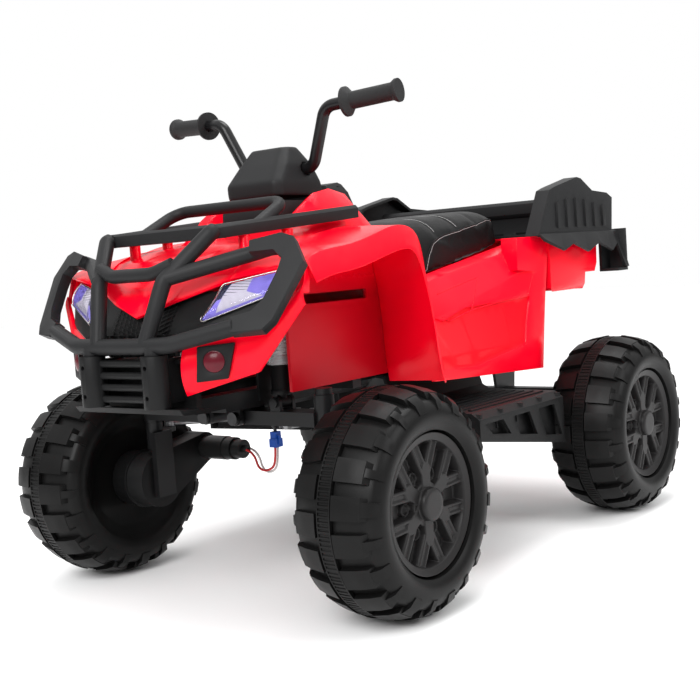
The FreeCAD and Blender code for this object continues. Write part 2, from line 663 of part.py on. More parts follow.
def make_hood():
    top = panel("x", [(x, hood_line(x)) for x in (-HOOD_HALF, -60, 0, 60, HOOD_HALF)])
    low = RIDGE_Z - 60
    tank = panel("y", [
        (-296, tank_line(low - 8, low - 7, low - 10, low - 13)),
        (-262, tank_line(low + 2, RIDGE_Z - 33, low + 4, low - 9)),
        (-221, tank_line(low + 18, RIDGE_Z - 7, RIDGE_Z - 32, low - 6)),
        (-183, tank_line(low + 30, RIDGE_Z, RIDGE_Z - 25, low - 3)),
        (-144, tank_line(low + 30, RIDGE_Z - 8, RIDGE_Z - 30, low - 4)),
        (-126, tank_line(low + 20, RIDGE_Z - 24, RIDGE_Z - 42, low - 8)),
        (-104, tank_line(low + 6, RIDGE_Z - 52, RIDGE_Z - 60, low - 14)),
        (-66, tank_line(low - 28, RIDGE_Z - 86, RIDGE_Z - 92, low - 40))])
    crest = [(y, z - 2) for y, z in hood_line(HOOD_HALF)]
    lower = [(-96, 500), (-109, WALL_FOOT), (NOTCH_REAR, WALL_FOOT), (NOTCH_REAR, NOTCH_TOP),
             (-443, NOTCH_TOP), (-446, 400)]
    outline = crest + [(-172, RIDGE_Z - 65), (-135, RIDGE_Z - 66)] + lower
    wall = prism_x(outline, HOOD_HALF - 5, HOOD_HALF)
    slot = prism_x([(-326, 420), (-152, 419), (-152, 433), (-326, 434)], HOOD_HALF - 9, HOOD_HALF + 4)
    wall = wall.cut(slot)
    bosses = []
    for y in (-388, -312):
        for side in (1, -1):
            x = side * rail_x(y)
            bosses.append(rod(V(x, y, 480), V(x, y, rail_z(y - 8) - RACK_BAR - SEAT_GAP), 8.0))
    body = joined([top, tank, wall, mirrored(wall)] + bosses)
    gap = SEAT_GAP
    opening = box(-COWL_HALF - gap, COWL_HALF + gap, COWL_FRONT - gap, COWL_REAR + 20, 440, 620)
    return body.cut(opening)


def fender_line(x):
    """Wheel arch outline from the headlamp over the top and down the leg shield."""
    k = (x - HOOD_HALF) / (CREASE_X - HOOD_HALF)
    return [(-444 + 32 * k, 463 + 20 * k), (-436 + 34 * k, 471 + 15 * k), (-404 + 20 * k, 496 - 5 * k),
            (-320, 513 - 14 * k), (-250, 522 - 8 * k), (-205, 528 - 6 * k), (-158 - 8 * k, 518 - 6 * k),
            (-126 - 18 * k, 462 - 10 * k), (-113 - 14 * k, 380), (-104 - 4 * k, 287 + 3 * k)]


def lip_line():
    """Lower edge of the outer lip: tall over the wheel, narrow down the leg shield."""
    crease = fender_line(CREASE_X)
    lower = []
    for (y, z), (ny, nz) in zip(crease, offset_line(crease, -1.0)):
        level = min(max(z - nz, 0.0), 1.0)
        width = LIP_LEG + (LIP_DROP - LIP_LEG) * level
        lower.append((y + (ny - y) * width, z + (nz - z) * width))
    return lower


def fascia_line(x):
    """Upright outline of the lower front corner at a distance x from the middle."""
    k = (x - FASCIA_IN) / (CREASE_X - FASCIA_IN)
    top = 384 + 30 * k + 127 * max(k - 0.7, 0)
    foot = 316 + 44 * k + 162 * max(k - 0.6, 0)
    y = -503 + 80 * k
    return [(y + 2, foot), (y - 6 + 4 * k, (foot + top) / 2), (y + 3, top)]


def make_fender():
    stations = [(x, fender_line(x)) for x in (HOOD_HALF + SEAT_GAP, 190.0, CREASE_X)]
    arch = panel("x", stations + [(LIP_X, lip_line())], SHELL, True)
    steps = [FASCIA_IN + k * (CREASE_X - FASCIA_IN) for k in (0.0, 0.3, 0.6, 0.7, 0.85, 1.0)]
    front = panel("x", [(x, fascia_line(x)) for x in steps], SHELL, True)
    out = fog_axes()[0]
    front = front.cut(Part.makeCylinder(FOG_TAIL_R + SEAT_GAP, 50, fog_at() - out * 25, out))
    y0, z0 = fascia_line(CREASE_X)[2]
    y1, z1 = fender_line(CREASE_X)[0]
    outline = [(y0 + 1, z0 - 12), (y0 + 1, z0 - 2), (y1 + 2, z1 - 2), (y1 + 10, z1 - 2), (y0 + 12, z0 - 12)]
    bridge = prism_x(outline, CREASE_X - 14, CREASE_X - 1)
    return joined([arch, front, bridge])


def make_cowl():
    top = COWL_TOP
    outline = [(COWL_FRONT, 500), (COWL_FRONT + 6, top), (COLUMN_Y + 60, top), (COLUMN_Y + 65, DASH_TOP - 6),
               (-104, DASH_TOP), (-96, DASH_TOP - 3), (COWL_REAR, 548), (COWL_REAR, 500)]
    inner = [(COWL_FRONT + 4, 490), (COWL_FRONT + 10, top - 4), (-113, top - 4), (-110, DASH_TOP - 6),
             (-98, DASH_TOP - 8), (COWL_REAR - 4, 547), (COWL_REAR - 4, 490)]
    solid = prism_x(outline, -COWL_HALF, COWL_HALF)
    corner = 12.0
    for side in (1, -1):
        x = side * COWL_HALF
        wedge = prism([V(x + side, -300, DASH_TOP - 18), V(x + side, -300, DASH_TOP + 9),
                       V(x - side * corner, -300, DASH_TOP + 9)], V(0, 300, 0))
        solid = solid.cut(wedge)
    shell = solid.cut(prism_x(inner, -COWL_HALF + 4, COWL_HALF - 4))
    sweep = rod(V(0, COLUMN_Y, top + 0.01), V(0, COLUMN_Y, top + 80), 88.0)
    hole = rod(V(0, COLUMN_Y, top - 60), V(0, COLUMN_Y, top + 60), COLUMN_R + 6)
    shell = shell.cut(sweep).cut(hole)
    for centre, half_w, half_l in ((POWER_AT, 9.3, 9.3), (ROCKER_AT, 9.3, 13.3)):
        shell = shell.cut(dash_block(centre, half_w, half_l, -8, 8))
    return shell


POWER_AT = (-24.0, 0.5)
ROCKER_AT = (22.0, 0.5)


def dash_point(at):
    x, t = at
    y = -96 + (COWL_REAR + 96) * t
    z = (DASH_TOP - 3) + (548 - DASH_TOP + 3) * t
    return V(x, y, z)


def dash_axes():
    along = V(0, COWL_REAR + 96, 548 - DASH_TOP + 3)
    along.normalize()
    return along, V(0, -along.z, along.y)


def dash_block(at, half_w, half_l, low, high):
    along, out = dash_axes()
    centre = dash_point(at)
    pts = []
    for sx, sl in ((1, 1), (1, -1), (-1, -1), (-1, 1)):
        pts.append(centre + V(sx * half_w, 0, 0) + along * (sl * half_l) + out * low)
    return prism(pts, out * (high - low))


def make_power_button():
    along, out = dash_axes()
    centre = dash_point(POWER_AT)
    stem = Part.makeCylinder(9.0, 10.5, centre - out * 7.0, out)
    back = Part.makeCylinder(11.5, 3.0, centre - out * 9.0, out)
    return joined([stem, back])


def make_rocker():
    along, out = dash_axes()
    centre = dash_point(ROCKER_AT)
    rows = []
    for s, h in ((-12.0, 5.0), (0.0, 1.8), (12.0, 5.0)):
        rows.append(centre + along * s + out * h)
    low = [centre + along * 9.0 - out * 5.5, centre - along * 9.0 - out * 5.5]
    outline = rows + low
    body = prism([p - V(8.7, 0, 0) for p in outline], V(17.4, 0, 0))
    axle = rod(centre - V(9.2, 0, 0) - out * 2.0, centre + V(9.2, 0, 0) - out * 2.0, 2.0)
    return joined([body, axle])


# Side panels, seat and rear

def ledge(y):
    return 429.0 + 0.1603 * (y - PANEL_FRONT)


def make_side_panel():
    stations = []
    for y, flare in ((PANEL_FRONT, 0.0), (30.0, 0.1), (150.0, 0.35), (230.0, 0.8), (PANEL_REAR, 1.0)):
        z = ledge(y)
        foot = 284 - 0.055 * (y - PANEL_FRONT)
        line = [(PANEL_IN, TUB_TOP - 8), (PANEL_IN, z - 4), (131, z), (146 + 44 * flare, z - 9 + 10 * flare),
                (172 + 30 * flare, z - 62 + 34 * flare), (PANEL_X - 1, 318), (PANEL_X, foot)]
        stations.append((y, line))
    body = panel("y", stations)
    skin = panel("y", [(y, offset_line(line[3:], PANEL_STEP)) for y, line in stations], PANEL_STEP + 0.3)
    recess = [(-36, 297), (32, 294), (190, 312), (222, 393), (43, 387), (-22, 371), (-47, 379), (-58, 414)]
    skin = skin.cut(prism_x(recess, TUB_HALF, PANEL_X + 20))
    end = PANEL_REAR + 1
    rear_cut = prism_x([(end - 47, 250), (end, 250), (end, 470), (end - 3, 470)], TUB_HALF + 14, PANEL_X + 20)
    corner = prism_x([(183, 440), (186, CORNER_TOP), (end - 1, CORNER_TOP), (end - 1, 430)],
                     PANEL_X - 32, PANEL_X - 1)
    hollow = prism_x([(188, 400), (190, CORNER_TOP - 4), (end - 5, CORNER_TOP - 4), (end - 5, 400)],
                     PANEL_X - 28, PANEL_X - 5)
    return joined([body, skin, corner.cut(hollow)]).cut(rear_cut)


SEAT_SINK = 2.5
SEAT_ROWS = ((-50.0, 84.0, 520.0), (-32.0, 104.0, 528.0), (0.0, 120.0, 532.0), (50.0, 129.0, 534.0),
             (92.0, 130.0, 537.0), (97.0, 129.0, 533.5), (102.0, 130.0, 537.0), (150.0, 129.0, 541.0),
             (196.0, 126.0, 544.0), (201.0, 125.0, 540.5), (206.0, 126.0, 545.0), (250.0, 121.0, 547.0),
             (286.0, 110.0, 543.0), (302.0, 98.0, 532.0), (310.0, 88.0, 515.0))


def make_seat():
    wires = []
    for y, w, top in SEAT_ROWS:
        low = ledge(y) - SEAT_SINK + (8.0 if y > PANEL_REAR else 0.0)
        span = top - low
        half = [(0.0, top), (0.4 * w, top - 1.5), (0.72 * w, top - 7), (0.9 * w, top - 0.24 * span),
                (0.985 * w, top - 0.45 * span), (w, top - 0.65 * span), (0.985 * w, low + 0.12 * span),
                (0.94 * w, low)]
        ring = half + [(-x, z) for x, z in half[:0:-1]]
        wires.append(closed([V(x, y, z) for x, z in ring]))
    return Part.makeLoft(wires, True, True)


def make_rear_body():
    low = REAR_TOP - 101.7
    back = REAR_BACK
    outline = [(REAR_FRONT, REAR_TOP), (back, REAR_TOP), (back - 4, low + 46), (back - 14, low + 30),
               (back - 53, low + 30), (back - 59, low), (REAR_FRONT + 10, low), (REAR_FRONT, low + 8)]
    solid = prism_x(outline, -REAR_HALF, REAR_HALF)
    for side in (1, -1):
        x = side * REAR_HALF
        solid = solid.cut(prism([V(x + side, 200, low - 1), V(x + side, 200, low + 12),
                                 V(x - side * 5, 200, low - 1)], V(0, 400, 0)))
    inner = [(REAR_FRONT + 4, REAR_TOP - 4), (back - 4.5, REAR_TOP - 4), (back - 8.5, low + 46),
             (back - 18, low + 34), (back - 57, low + 34), (back - 62, low - 5),
             (REAR_FRONT + 12, low - 5), (REAR_FRONT + 4, low + 6)]
    shell = solid.cut(prism_x(inner, -REAR_HALF + 4, REAR_HALF - 4))
    notch = box(-TUB_HALF - 10, TUB_HALF + 10, REAR_FRONT - 5, REAR_FRONT + 26, low - 5, REAR_TOP + 5)
    return shell.cut(notch)


def make_rear_rack():
    floor = REAR_TOP + SEAT_GAP
    side_line = [(231, floor), (279, 574), (300, 580), (386, 598), (402, 596), (446, 574), (507, 570),
                 (529, 561), (521, floor)]
    pocket = [(240, floor - 1), (284, 569), (302, 575), (386, 592.5), (400, 590.5), (445, 568.5),
              (505, 564.5), (522, 557), (515, floor - 1)]
    left = [prism_x(side_line, RACK_HALF - 26, RACK_HALF).cut(prism_x(pocket, RACK_HALF - 27, RACK_HALF - 5))]
    for i in range(6):
        y = 300 + 36 * i
        left.append(box(RACK_HALF - 1, RACK_HALF + 3.5, y, y + 11, floor + 12, 552 + 8 * math.sin(0.8 * i)))
    skirt_rows = ((233, 489), (300, 468), (340, 480), (392, 463), (440, 478), (488, 461), (512, 474),
                  (528, 430), (542, 428))
    left.append(panel("y", [(y, [(RACK_HALF - 12, floor + 5), (RACK_HALF + 4, floor + 2),
                                 (RACK_HALF + 12 + (489 - z) * 0.18, z)]) for y, z in skirt_rows], 5.0))
    tail = box(RACK_HALF - 19, RACK_HALF + 20, 500, 541.5, 421, floor + 5)
    tail = tail.cut(box(RACK_HALF - 14, RACK_HALF + 30, 480, 536, 426, floor + 6))
    left.append(tail)
    parts = left + [mirrored(piece) for piece in left]
    inside = RACK_HALF - 4
    parts.append(box(-inside, inside, TRAY_FRONT, 524, floor, floor + 5))
    parts.append(prism_x([(370, 540), (376, 534), (404, 534), (412, 542), (410, 560), (404, 564), (378, 564),
                          (371, 558)], -inside - 1, inside + 1))
    parts.append(box(-inside, inside, 379, 384, floor + 4, 540))
    parts.append(box(-inside, inside, 516, 522, floor, floor + 46))
    for x in (-120, -60, 0, 60, 120):
        parts.append(box(x - 4, x + 4, TRAY_FRONT + 2, 518, floor + 4, floor + 9))
    return joined(parts)


# Floor

def make_tub():
    outer = box(-TUB_HALF, TUB_HALF, TUB_FRONT, TUB_REAR, RAIL_TOP + SEAT_GAP, TUB_TOP)
    inner = box(-TUB_HALF + SHELL, TUB_HALF - SHELL, TUB_FRONT + SHELL, TUB_REAR - SHELL,
                RAIL_TOP + SEAT_GAP + SHELL, TUB_TOP + 1)
    return outer.cut(inner)


TUB_FLOOR = RAIL_TOP + 2 * SEAT_GAP + SHELL


def make_battery():
    case = box(-49.5, 49.5, 60, 210, TUB_FLOOR, TUB_FLOOR + 88)
    lid = box(-47, 47, 62, 208, TUB_FLOOR + 88, TUB_FLOOR + 92)
    posts = [box(x - 5, x + 5, 74, 88, TUB_FLOOR + 91, TUB_FLOOR + 100) for x in (-32, 32)]
    return joined([case, lid] + posts)


def make_control_box():
    case = box(-46, 46, 222, 276, TUB_FLOOR, TUB_FLOOR + 28)
    plugs = [box(x - 9, x + 9, 218, 224, TUB_FLOOR + 6, TUB_FLOOR + 18) for x in (-28, 0, 28)]
    return joined([case] + plugs)


def make_footboard(with_pedal):
    rows = []
    for y, low in ((BOARD_FRONT, 195.0), (BOARD_REAR, 150.0)):
        rows.append((y, [(RAIL_X + RAIL_W / 2 + SEAT_GAP + 0.8, 298), (112, 292), (128, BOARD_Z + 8),
                         (142, BOARD_Z), (BOARD_X - 14, BOARD_Z - 2), (BOARD_X, BOARD_Z - 12),
                         (BOARD_X, low)]))
    body = panel("y", rows, BOARD_T)
    length = BOARD_REAR - BOARD_FRONT
    back = [(BOARD_FRONT + 6, 197), (BOARD_REAR - 6, 152), (BOARD_REAR - 6, BOARD_Z - 4),
            (BOARD_FRONT + 6, BOARD_Z - 4)]
    parts = [body, prism_x(back, BOARD_X - 17, BOARD_X - 14)]
    for i in range(5):
        y = BOARD_FRONT + 6 + (length - 17) * i / 4
        parts.append(box(140, BOARD_X - 2, y, y + 5, BOARD_Z - 34, BOARD_Z - 4))
    for i in range(6):
        x = 160 + 18 * i
        parts.append(box(x, x + 7, BOARD_FRONT + 20, BOARD_REAR - 20, BOARD_Z - 4, BOARD_Z + 0.5))
    if with_pedal:
        for x in PEDAL_EARS:
            parts.append(box(x, x + 6, PEDAL_Y - 7, PEDAL_Y + 7, BOARD_Z - 5, PEDAL_Z + 7))
    solid = joined(parts)
    for i in range(3):
        y = BOARD_FRONT + 14 + 82 * i
        low = 195.0 - 45.0 * (y + 60 - BOARD_FRONT) / length + 14
        outline = [(y + 22, low + 5), (y + 76, low - 3), (y + 54, BOARD_Z - 20), (y, BOARD_Z - 20)]
        solid = solid.cut(prism_x(outline, BOARD_X - 12, BOARD_X + 5))
    if with_pedal:
        start = V(PEDAL_EARS[0] - 2, PEDAL_Y, PEDAL_Z)
        solid = solid.cut(rod(start, V(PEDAL_EARS[1] + 9, PEDAL_Y, PEDAL_Z), 3.0 + RUN))
    return solid


PEDAL_Y = 12.0
PEDAL_Z = BOARD_Z + 12.0
PEDAL_EARS = (172.0, 238.0)


def make_pedal():
    x0 = PEDAL_EARS[0] + 6.5
    x1 = PEDAL_EARS[1] - 0.5
    outline = [(PEDAL_Y + 6, PEDAL_Z + 5), (PEDAL_Y - 84, PEDAL_Z + 27), (PEDAL_Y - 88, PEDAL_Z + 22),
               (PEDAL_Y - 86, PEDAL_Z + 18), (PEDAL_Y + 4, PEDAL_Z - 5)]
    plate = prism_x(outline, x0, x1)
    under = prism_x([(PEDAL_Y - 12, PEDAL_Z - 8), (PEDAL_Y - 12, PEDAL_Z + 4), (PEDAL_Y - 82, PEDAL_Z + 21),
                     (PEDAL_Y - 82, PEDAL_Z + 8)], x0 + 4, x1 - 4)
    pin = rod(V(PEDAL_EARS[0] - 0.5, PEDAL_Y, PEDAL_Z), V(PEDAL_EARS[1] + 6.5, PEDAL_Y, PEDAL_Z), 3.0)
    barrel = rod(V(x0, PEDAL_Y, PEDAL_Z), V(x1, PEDAL_Y, PEDAL_Z), 6.0)
    treads = []
    for i in range(5):
        y = PEDAL_Y - 74 + 15 * i
        z = PEDAL_Z + 5 + (PEDAL_Y + 6 - y) * 22.0 / 90.0
        treads.append(box(x0 + 5, x1 - 5, y, y + 5, z - 3, z + 1.5))
    return joined([plate.cut(under), pin, barrel] + treads)


def make_frame():
    left = []
    face = RAIL_X + RAIL_W / 2
    w = RAIL_WALL
    rail = box(RAIL_X - RAIL_W / 2, face, RAIL_FRONT, RAIL_REAR, RAIL_Z, RAIL_TOP)
    bore = box(RAIL_X - RAIL_W / 2 + w, face - w, RAIL_FRONT - 1, RAIL_REAR + 1, RAIL_Z + w, RAIL_TOP - w)
    left.append(rail.cut(bore))
    x = ARM_PIVOT_X
    for y in (FRONT_AXLE_Y - BUSH_HALF - 6.5, FRONT_AXLE_Y + BUSH_HALF + 0.5):
        ear = box(x - 11, x + 11, y, y + 6, ARM_PIVOT_Z, PLATE_Z0 + 1)
        left.append(joined([ear, rod(V(x, y, ARM_PIVOT_Z), V(x, y + 6, ARM_PIVOT_Z), 11.0)]))
    y0 = FRONT_AXLE_Y - 23
    y1 = FRONT_AXLE_Y + 23
    left.append(box(face, face + 4, y0, y1, RAIL_Z + 2, TOWER_Z + 4))
    left.append(box(face, SHOCK_X + SLEEVE_R + SLEEVE_WALL + 3, y0, y1, TOWER_Z, TOWER_Z + 4))
    y = REAR_AXLE_Y
    left.append(prism_x([(y - 46, RAIL_Z + 1), (y + 40, RAIL_Z + 1), (y + 20, TYRE_R - 22),
                         (y - 20, TYRE_R - 22)], RAIL_X - 3, RAIL_X + 3))
    left.append(box(face - 0.5, HOOD_HALF, -200, -180, RAIL_Z + 1, WALL_FOOT - SEAT_GAP))
    left.append(box(RAIL_X - 8, RAIL_X + 8, 396, 412, RAIL_TOP - 1, REAR_TOP - SHELL - SEAT_GAP))
    parts = left + [mirrored(piece) for piece in left]
    parts.append(box(-RAIL_X - 12, RAIL_X + 12, FRONT_AXLE_Y - 88, FRONT_AXLE_Y + 70, PLATE_Z0, RAIL_Z + 0.5))
    inner = RAIL_X - RAIL_W / 2 + 0.5
    for y in (COLUMN_Y - 17, 60.0, 380.0):
        parts.append(box(-inner, inner, y, y + 34, RAIL_Z + 2, RAIL_TOP - 2))
    beam_z = TYRE_R + GEAR_R + 3.3
    reach = GEAR_INNER_X + 36
    parts.append(box(-reach, reach, REAR_AXLE_Y - 12, REAR_AXLE_Y + 12, beam_z, beam_z + 14))
    body = joined(parts)
    for x in (ARM_PIVOT_X, -ARM_PIVOT_X):
        start = V(x, FRONT_AXLE_Y - 50, ARM_PIVOT_Z)
        body = body.cut(rod(start, start + V(0, 100, 0), ARM_BOLT_R + RUN))
    body = body.cut(rod(V(0, COLUMN_Y, RAIL_Z - 5), V(0, COLUMN_Y, RAIL_TOP + 5), COLUMN_R + RUN))
    start = V(-RAIL_X - 20, REAR_AXLE_Y, TYRE_R)
    return body.cut(rod(start, start + V(2 * RAIL_X + 40, 0, 0), AXLE_R + 0.1))


def make_pivot_bolts():
    bolts = []
    for side in (1, -1):
        x = side * ARM_PIVOT_X
        y0 = FRONT_AXLE_Y - BUSH_HALF - 6.5 - SEAT_GAP
        y1 = FRONT_AXLE_Y + BUSH_HALF + 6.5 + SEAT_GAP
        shank = rod(V(x, y0 - 5, ARM_PIVOT_Z), V(x, y1 + 5, ARM_PIVOT_Z), ARM_BOLT_R)
        head = rod(V(x, y0 - 6, ARM_PIVOT_Z), V(x, y0, ARM_PIVOT_Z), 9.5)
        nut = rod(V(x, y1, ARM_PIVOT_Z), V(x, y1 + 6, ARM_PIVOT_Z), 9.5)
        bolts.append(joined([shank, head, nut]))
    return Part.makeCompound(bolts)


def make_rear_axle():
    shaft = rod(V(-GEAR_INNER_X, REAR_AXLE_Y, TYRE_R), V(GEAR_INNER_X, REAR_AXLE_Y, TYRE_R), AXLE_R)
    end = axle_end(REAR_AXLE_Y)
    return joined([shaft, end, mirrored(end)])


# Front guard, rack, lamps

def rail_x(y):
    return HOOD_HALF - RACK_IN + 37.0 * (y - RACK_FRONT) / 244.0


def rail_z(y):
    return RACK_Z + 20.0 * (y - RACK_FRONT) / 244.0


def make_rack():
    parts = []
    b = RACK_BAR
    for side in (1, -1):
        wires = []
        for y in (RACK_FRONT - b, -183.0):
            x = side * rail_x(y)
            z = rail_z(y)
            ring = [(x - b, z - b), (x + b, z - b), (x + b, z + b * 0.5), (x + b * 0.5, z + b),
                    (x - b * 0.5, z + b), (x - b, z + b * 0.5)]
            wires.append(closed([V(px, y, pz) for px, pz in ring]))
        parts.append(Part.makeLoft(wires, True, True))
    x = rail_x(RACK_FRONT) + b * 0.4
    ring = [(-b, -b), (b, -b), (b, b * 0.6), (b * 0.5, b), (-b * 0.5, b), (-b, b * 0.6)]
    parts.append(prism_x([(RACK_FRONT + y, RACK_Z + z) for y, z in ring], -x, x))
    y0 = -366.0
    foot = rail_x(y0)
    hoop = [V(foot - 4, HOOP_Y, HOOP_Z), V(foot, y0, rail_z(y0))]
    hoop = [V(-p.x, p.y, p.z) for p in hoop[::-1]] + hoop
    parts.append(tube(hoop, RACK_BAR - 0.5, 26))
    parts.append(rod(V(-foot, y0 + 4, rail_z(y0)), V(foot, y0 + 4, rail_z(y0)), 7.0))
    return joined(parts)


GUARD_LOW = 384.0
BEND_X = 64.0
BEND_Y = -499.0
BEND_Z = 466.0
POST_LOW_X = 47.0
CASTING_T = 16.0


def make_guard():
    half = [V(40, POST_Y, GUARD_LOW), V(90, POST_Y - 0.5, GUARD_LOW + 1), V(178, -490.5, GUARD_LOW + 20)]
    lower = [V(-p.x, p.y, p.z) for p in half[::-1]] + half
    parts = [tube(lower, GUARD_R, 46)]
    end_y = RACK_FRONT - RACK_BAR - 0.6
    end_x = rail_x(RACK_FRONT)
    post = [V(POST_LOW_X, POST_Y, GUARD_LOW + 2), V(BEND_X, BEND_Y, BEND_Z),
            V(end_x, end_y - 6, RACK_Z - 2), V(end_x, end_y, RACK_Z)]
    upper = [V(BEND_X + 2, BEND_Y + 2, BEND_Z + 4), V(160, -428, 495), V(188, -421, 501)]
    foot = rod(V(POST_X, POST_Y, BOSS_Z1 + SEAT_GAP), V(POST_X, POST_Y, GUARD_LOW), GUARD_R + 1)
    left = [tube(post, GUARD_R, 24), tube(upper, GUARD_R - 0.5, 30), foot, casting()]
    parts += left + [mirrored(piece) for piece in left]
    bow = [V(72, -487, 488), V(40, -495, 477)]
    bow = [V(-p.x, p.y, p.z) for p in bow] + bow[::-1]
    parts.append(tube(bow, GUARD_R - 1.5, 40))
    return joined(parts)


def casting():
    """Flat cast end that ties the upper and lower side tubes together."""
    corner = V(175, -491.6, GUARD_LOW + 20)
    out = V(48.7, 18.3, 5.6)
    out.normalize()
    up = V(31.1, 69.8, 100.9)
    up = up - out * up.dot(out)
    up.normalize()
    normal = up.cross(out)
    outline = [(0, -11), (44, -14), (58, -2), (98, 74), (84, 112), (66, 121), (22, 118), (22, 101), (56, 98),
               (68, 84), (62, 64), (44, 28), (28, 14), (0, 11)]
    pts = [corner + out * a + up * b - normal * CASTING_T / 2 for a, b in outline]
    return prism(pts, normal * CASTING_T)


def make_skid():
    y1 = RAIL_FRONT - SEAT_GAP
    parts = []
    parts.append(box(-88, 88, y1 - 10, y1, 296, GUARD_LOW - 20))
    for side in (1, -1):
        x = side * POST_X
        parts.append(rod(V(x, POST_Y, BOSS_Z0), V(x, POST_Y, BOSS_Z1), BOSS_R))
        parts.append(box(x - 7, x + 7, POST_Y, y1 - 4, BOSS_Z0 + 4, BOSS_Z1 - 6))
    for i in range(4):
        z = BOSS_Z0 + 10 + 16 * i
        parts.append(rod(V(-POST_X, POST_Y + 2, z), V(POST_X, POST_Y + 2, z), 5.0))
    shelf = prism_x([(y1 - 56, BOSS_Z0 - 1), (y1 - 50, BOSS_Z0 - 9), (y1, 290), (y1, 296)], -104, 104)
    parts.append(shelf)
    top = box(-92, 92, y1 - 26, y1, GUARD_LOW - 26, GUARD_LOW - 20)
    parts.append(top)
    body = joined(parts)
    for side in (1, -1):
        for z in (BOSS_Z0 + 15, BOSS_Z1 - 15):
            hole = rod(V(side * POST_X, POST_Y - 40, z), V(side * POST_X, POST_Y - 6, z), 3.2)
            body = body.cut(hole)
    return body


LAMP_X = (112.0, 128.0, 160.0, 190.0, 198.0)
LAMP_T = 4.0


def grille_line(x):
    """Upright outline of the grille panel, close behind the lamp at its outer ends."""
    k = min(abs(x) / 60.0, 1.0)
    if abs(x) <= 60:
        return [(-494, GUARD_LOW - 17.3), (-491, 388), (-487, 404), (-477 + 20 * k, 432 + 19 * k)]
    y, z = fascia_line(abs(x))[2]
    lamp = lamp_line(abs(x))
    if abs(x) <= LAMP_X[0]:
        lamp = [lamp[0], lamp[2], (-450, 452)]
    return [(y + 1, z + 2)] + offset_line(lamp, -LAMP_T - SEAT_GAP - 0.7)


def make_grille():
    stations = [-x for x in LAMP_X[::-1]] + [-60.0, 0.0, 60.0] + list(LAMP_X)
    body = panel("x", [(x, grille_line(x)) for x in stations], 4.0)
    bars = []
    for z in (374, 384, 394):
        y = -494 + (z - 364) * 0.125
        bars.append(box(-78, 78, y - 3, y + 2, z, z + 3))
    for i in range(9):
        x = -72 + 18 * i
        bars.append(box(x - 1.5, x + 1.5, -497, -489, 368, 397))
    return joined([body] + bars)


def lamp_line(x):
    k = (x - LAMP_X[0]) / 85.0
    low = (-482 + 40 * k, 411 + 29 * k)
    high = (-474 + 13 * min(k * 5.4, 1) + 39 * k, 420 + 35 * min(k * 5.4, 1) + 16 * k)
    mid = ((low[0] + high[0]) / 2 - 5, (low[1] + high[1]) / 2 + 1)
    return [low, mid, high]


def make_headlamp():
    return panel("x", [(x, lamp_line(x)) for x in LAMP_X], LAMP_T, True)


FOG_X = 134.0
FOG_OUT = V(0.49, -0.87, 0.03)
FOG_TAIL_R = 19.0
FOG_LENS_R = 14.0


def fog_at():
    y, z = fascia_line(FOG_X)[1]
    return V(FOG_X, y, z) - fog_axes()[0] * 3.5


def fog_axes():
    out = V(FOG_OUT)
    out.normalize()
    side = V(0, 0, 1).cross(out) * -1
    side.normalize()
    return out, side, out.cross(side) * -1


def make_fog_bezel():
    out, side, up = fog_axes()
    centre = fog_at()
    outline = [(-17, -23), (25, -26), (21, 20), (-29, 23)]
    face = [centre + side * a + up * b + out * 4.0 for a, b in outline]
    plate = prism(face, out * 6.0)
    hole = Part.makeCylinder(FOG_LENS_R + SEAT_GAP, 40, centre - out * 20, out)
    tail = Part.makeCylinder(FOG_TAIL_R, 13, centre - out * 7.0, out)
    return joined([plate, tail]).cut(hole)


def make_fog_lens():
    out, side, up = fog_axes()
    centre = fog_at()
    base = Part.makeCylinder(FOG_LENS_R, 6.5, centre + out * 3.0, out)
    dome = Part.makeSphere(FOG_LENS_R * 2.1, centre + out * (13.0 - FOG_LENS_R * 2.1))
    cut = Part.makeCylinder(FOG_LENS_R, 40, centre + out * 5.0, out)
    return joined([base, dome.common(cut)])


# Motor lead on the right, from the motor to the plug and up to the arm

LEAD_R = 1.9
PLUG_AT = V(-6, -228, 198)


def make_lead():
    motor_end = V(-GEAR_INNER_X + MOTOR_L + SEAT_GAP, FRONT_AXLE_Y + GEAR_REACH, TYRE_R + GEAR_RISE)
    leads = []
    for i, shift in enumerate((-5.0, 5.0)):
        a = motor_end + V(0.6, shift, 0)
        b = PLUG_AT + V(0, shift * 0.6, 0)
        middle = V((a.x + b.x) / 2 - 8, a.y, TYRE_R + 2 - 4 * i)
        low = V(b.x - 6, b.y, TYRE_R + 8 - 4 * i)
        points = [a, a + V(16, 0, -4), middle, low, b + V(0, 0, -12), b + V(0, 0, -0.3)]
        wire = bent(points, 14)
        leads.append(tube(points, LEAD_R, 14))
        print("lead", i, "length", round(wire.Length, 1), "volume", round(leads[-1].Volume, 1),
              "section by length", round(math.pi * LEAD_R ** 2 * wire.Length, 1))
    top = PLUG_AT + V(0, 0, 24.3)
    arm_x = -ARM_PIVOT_X - 18
    points = [top, top + V(0, 0, 16), V(arm_x, ARM_BACK + 34, ARM_PIVOT_Z - 6),
              V(arm_x, ARM_BACK + 0.4, ARM_PIVOT_Z - 2)]
    leads.append(tube(points, 2.6, 16))
    return Part.makeCompound(leads)


def make_plug():
    x, y, z = PLUG_AT.x, PLUG_AT.y, PLUG_AT.z
    lower = box(x - 7, x + 7, y - 8, y + 8, z, z + 13)
    upper = box(x - 5.5, x + 5.5, y - 6.5, y + 6.5, z + 12, z + 24)
    latch = box(x + 4, x + 9, y - 3, y + 3, z + 4, z + 18)
    return joined([lower, upper, latch])


os.makedirs("parts", exist_ok=True)


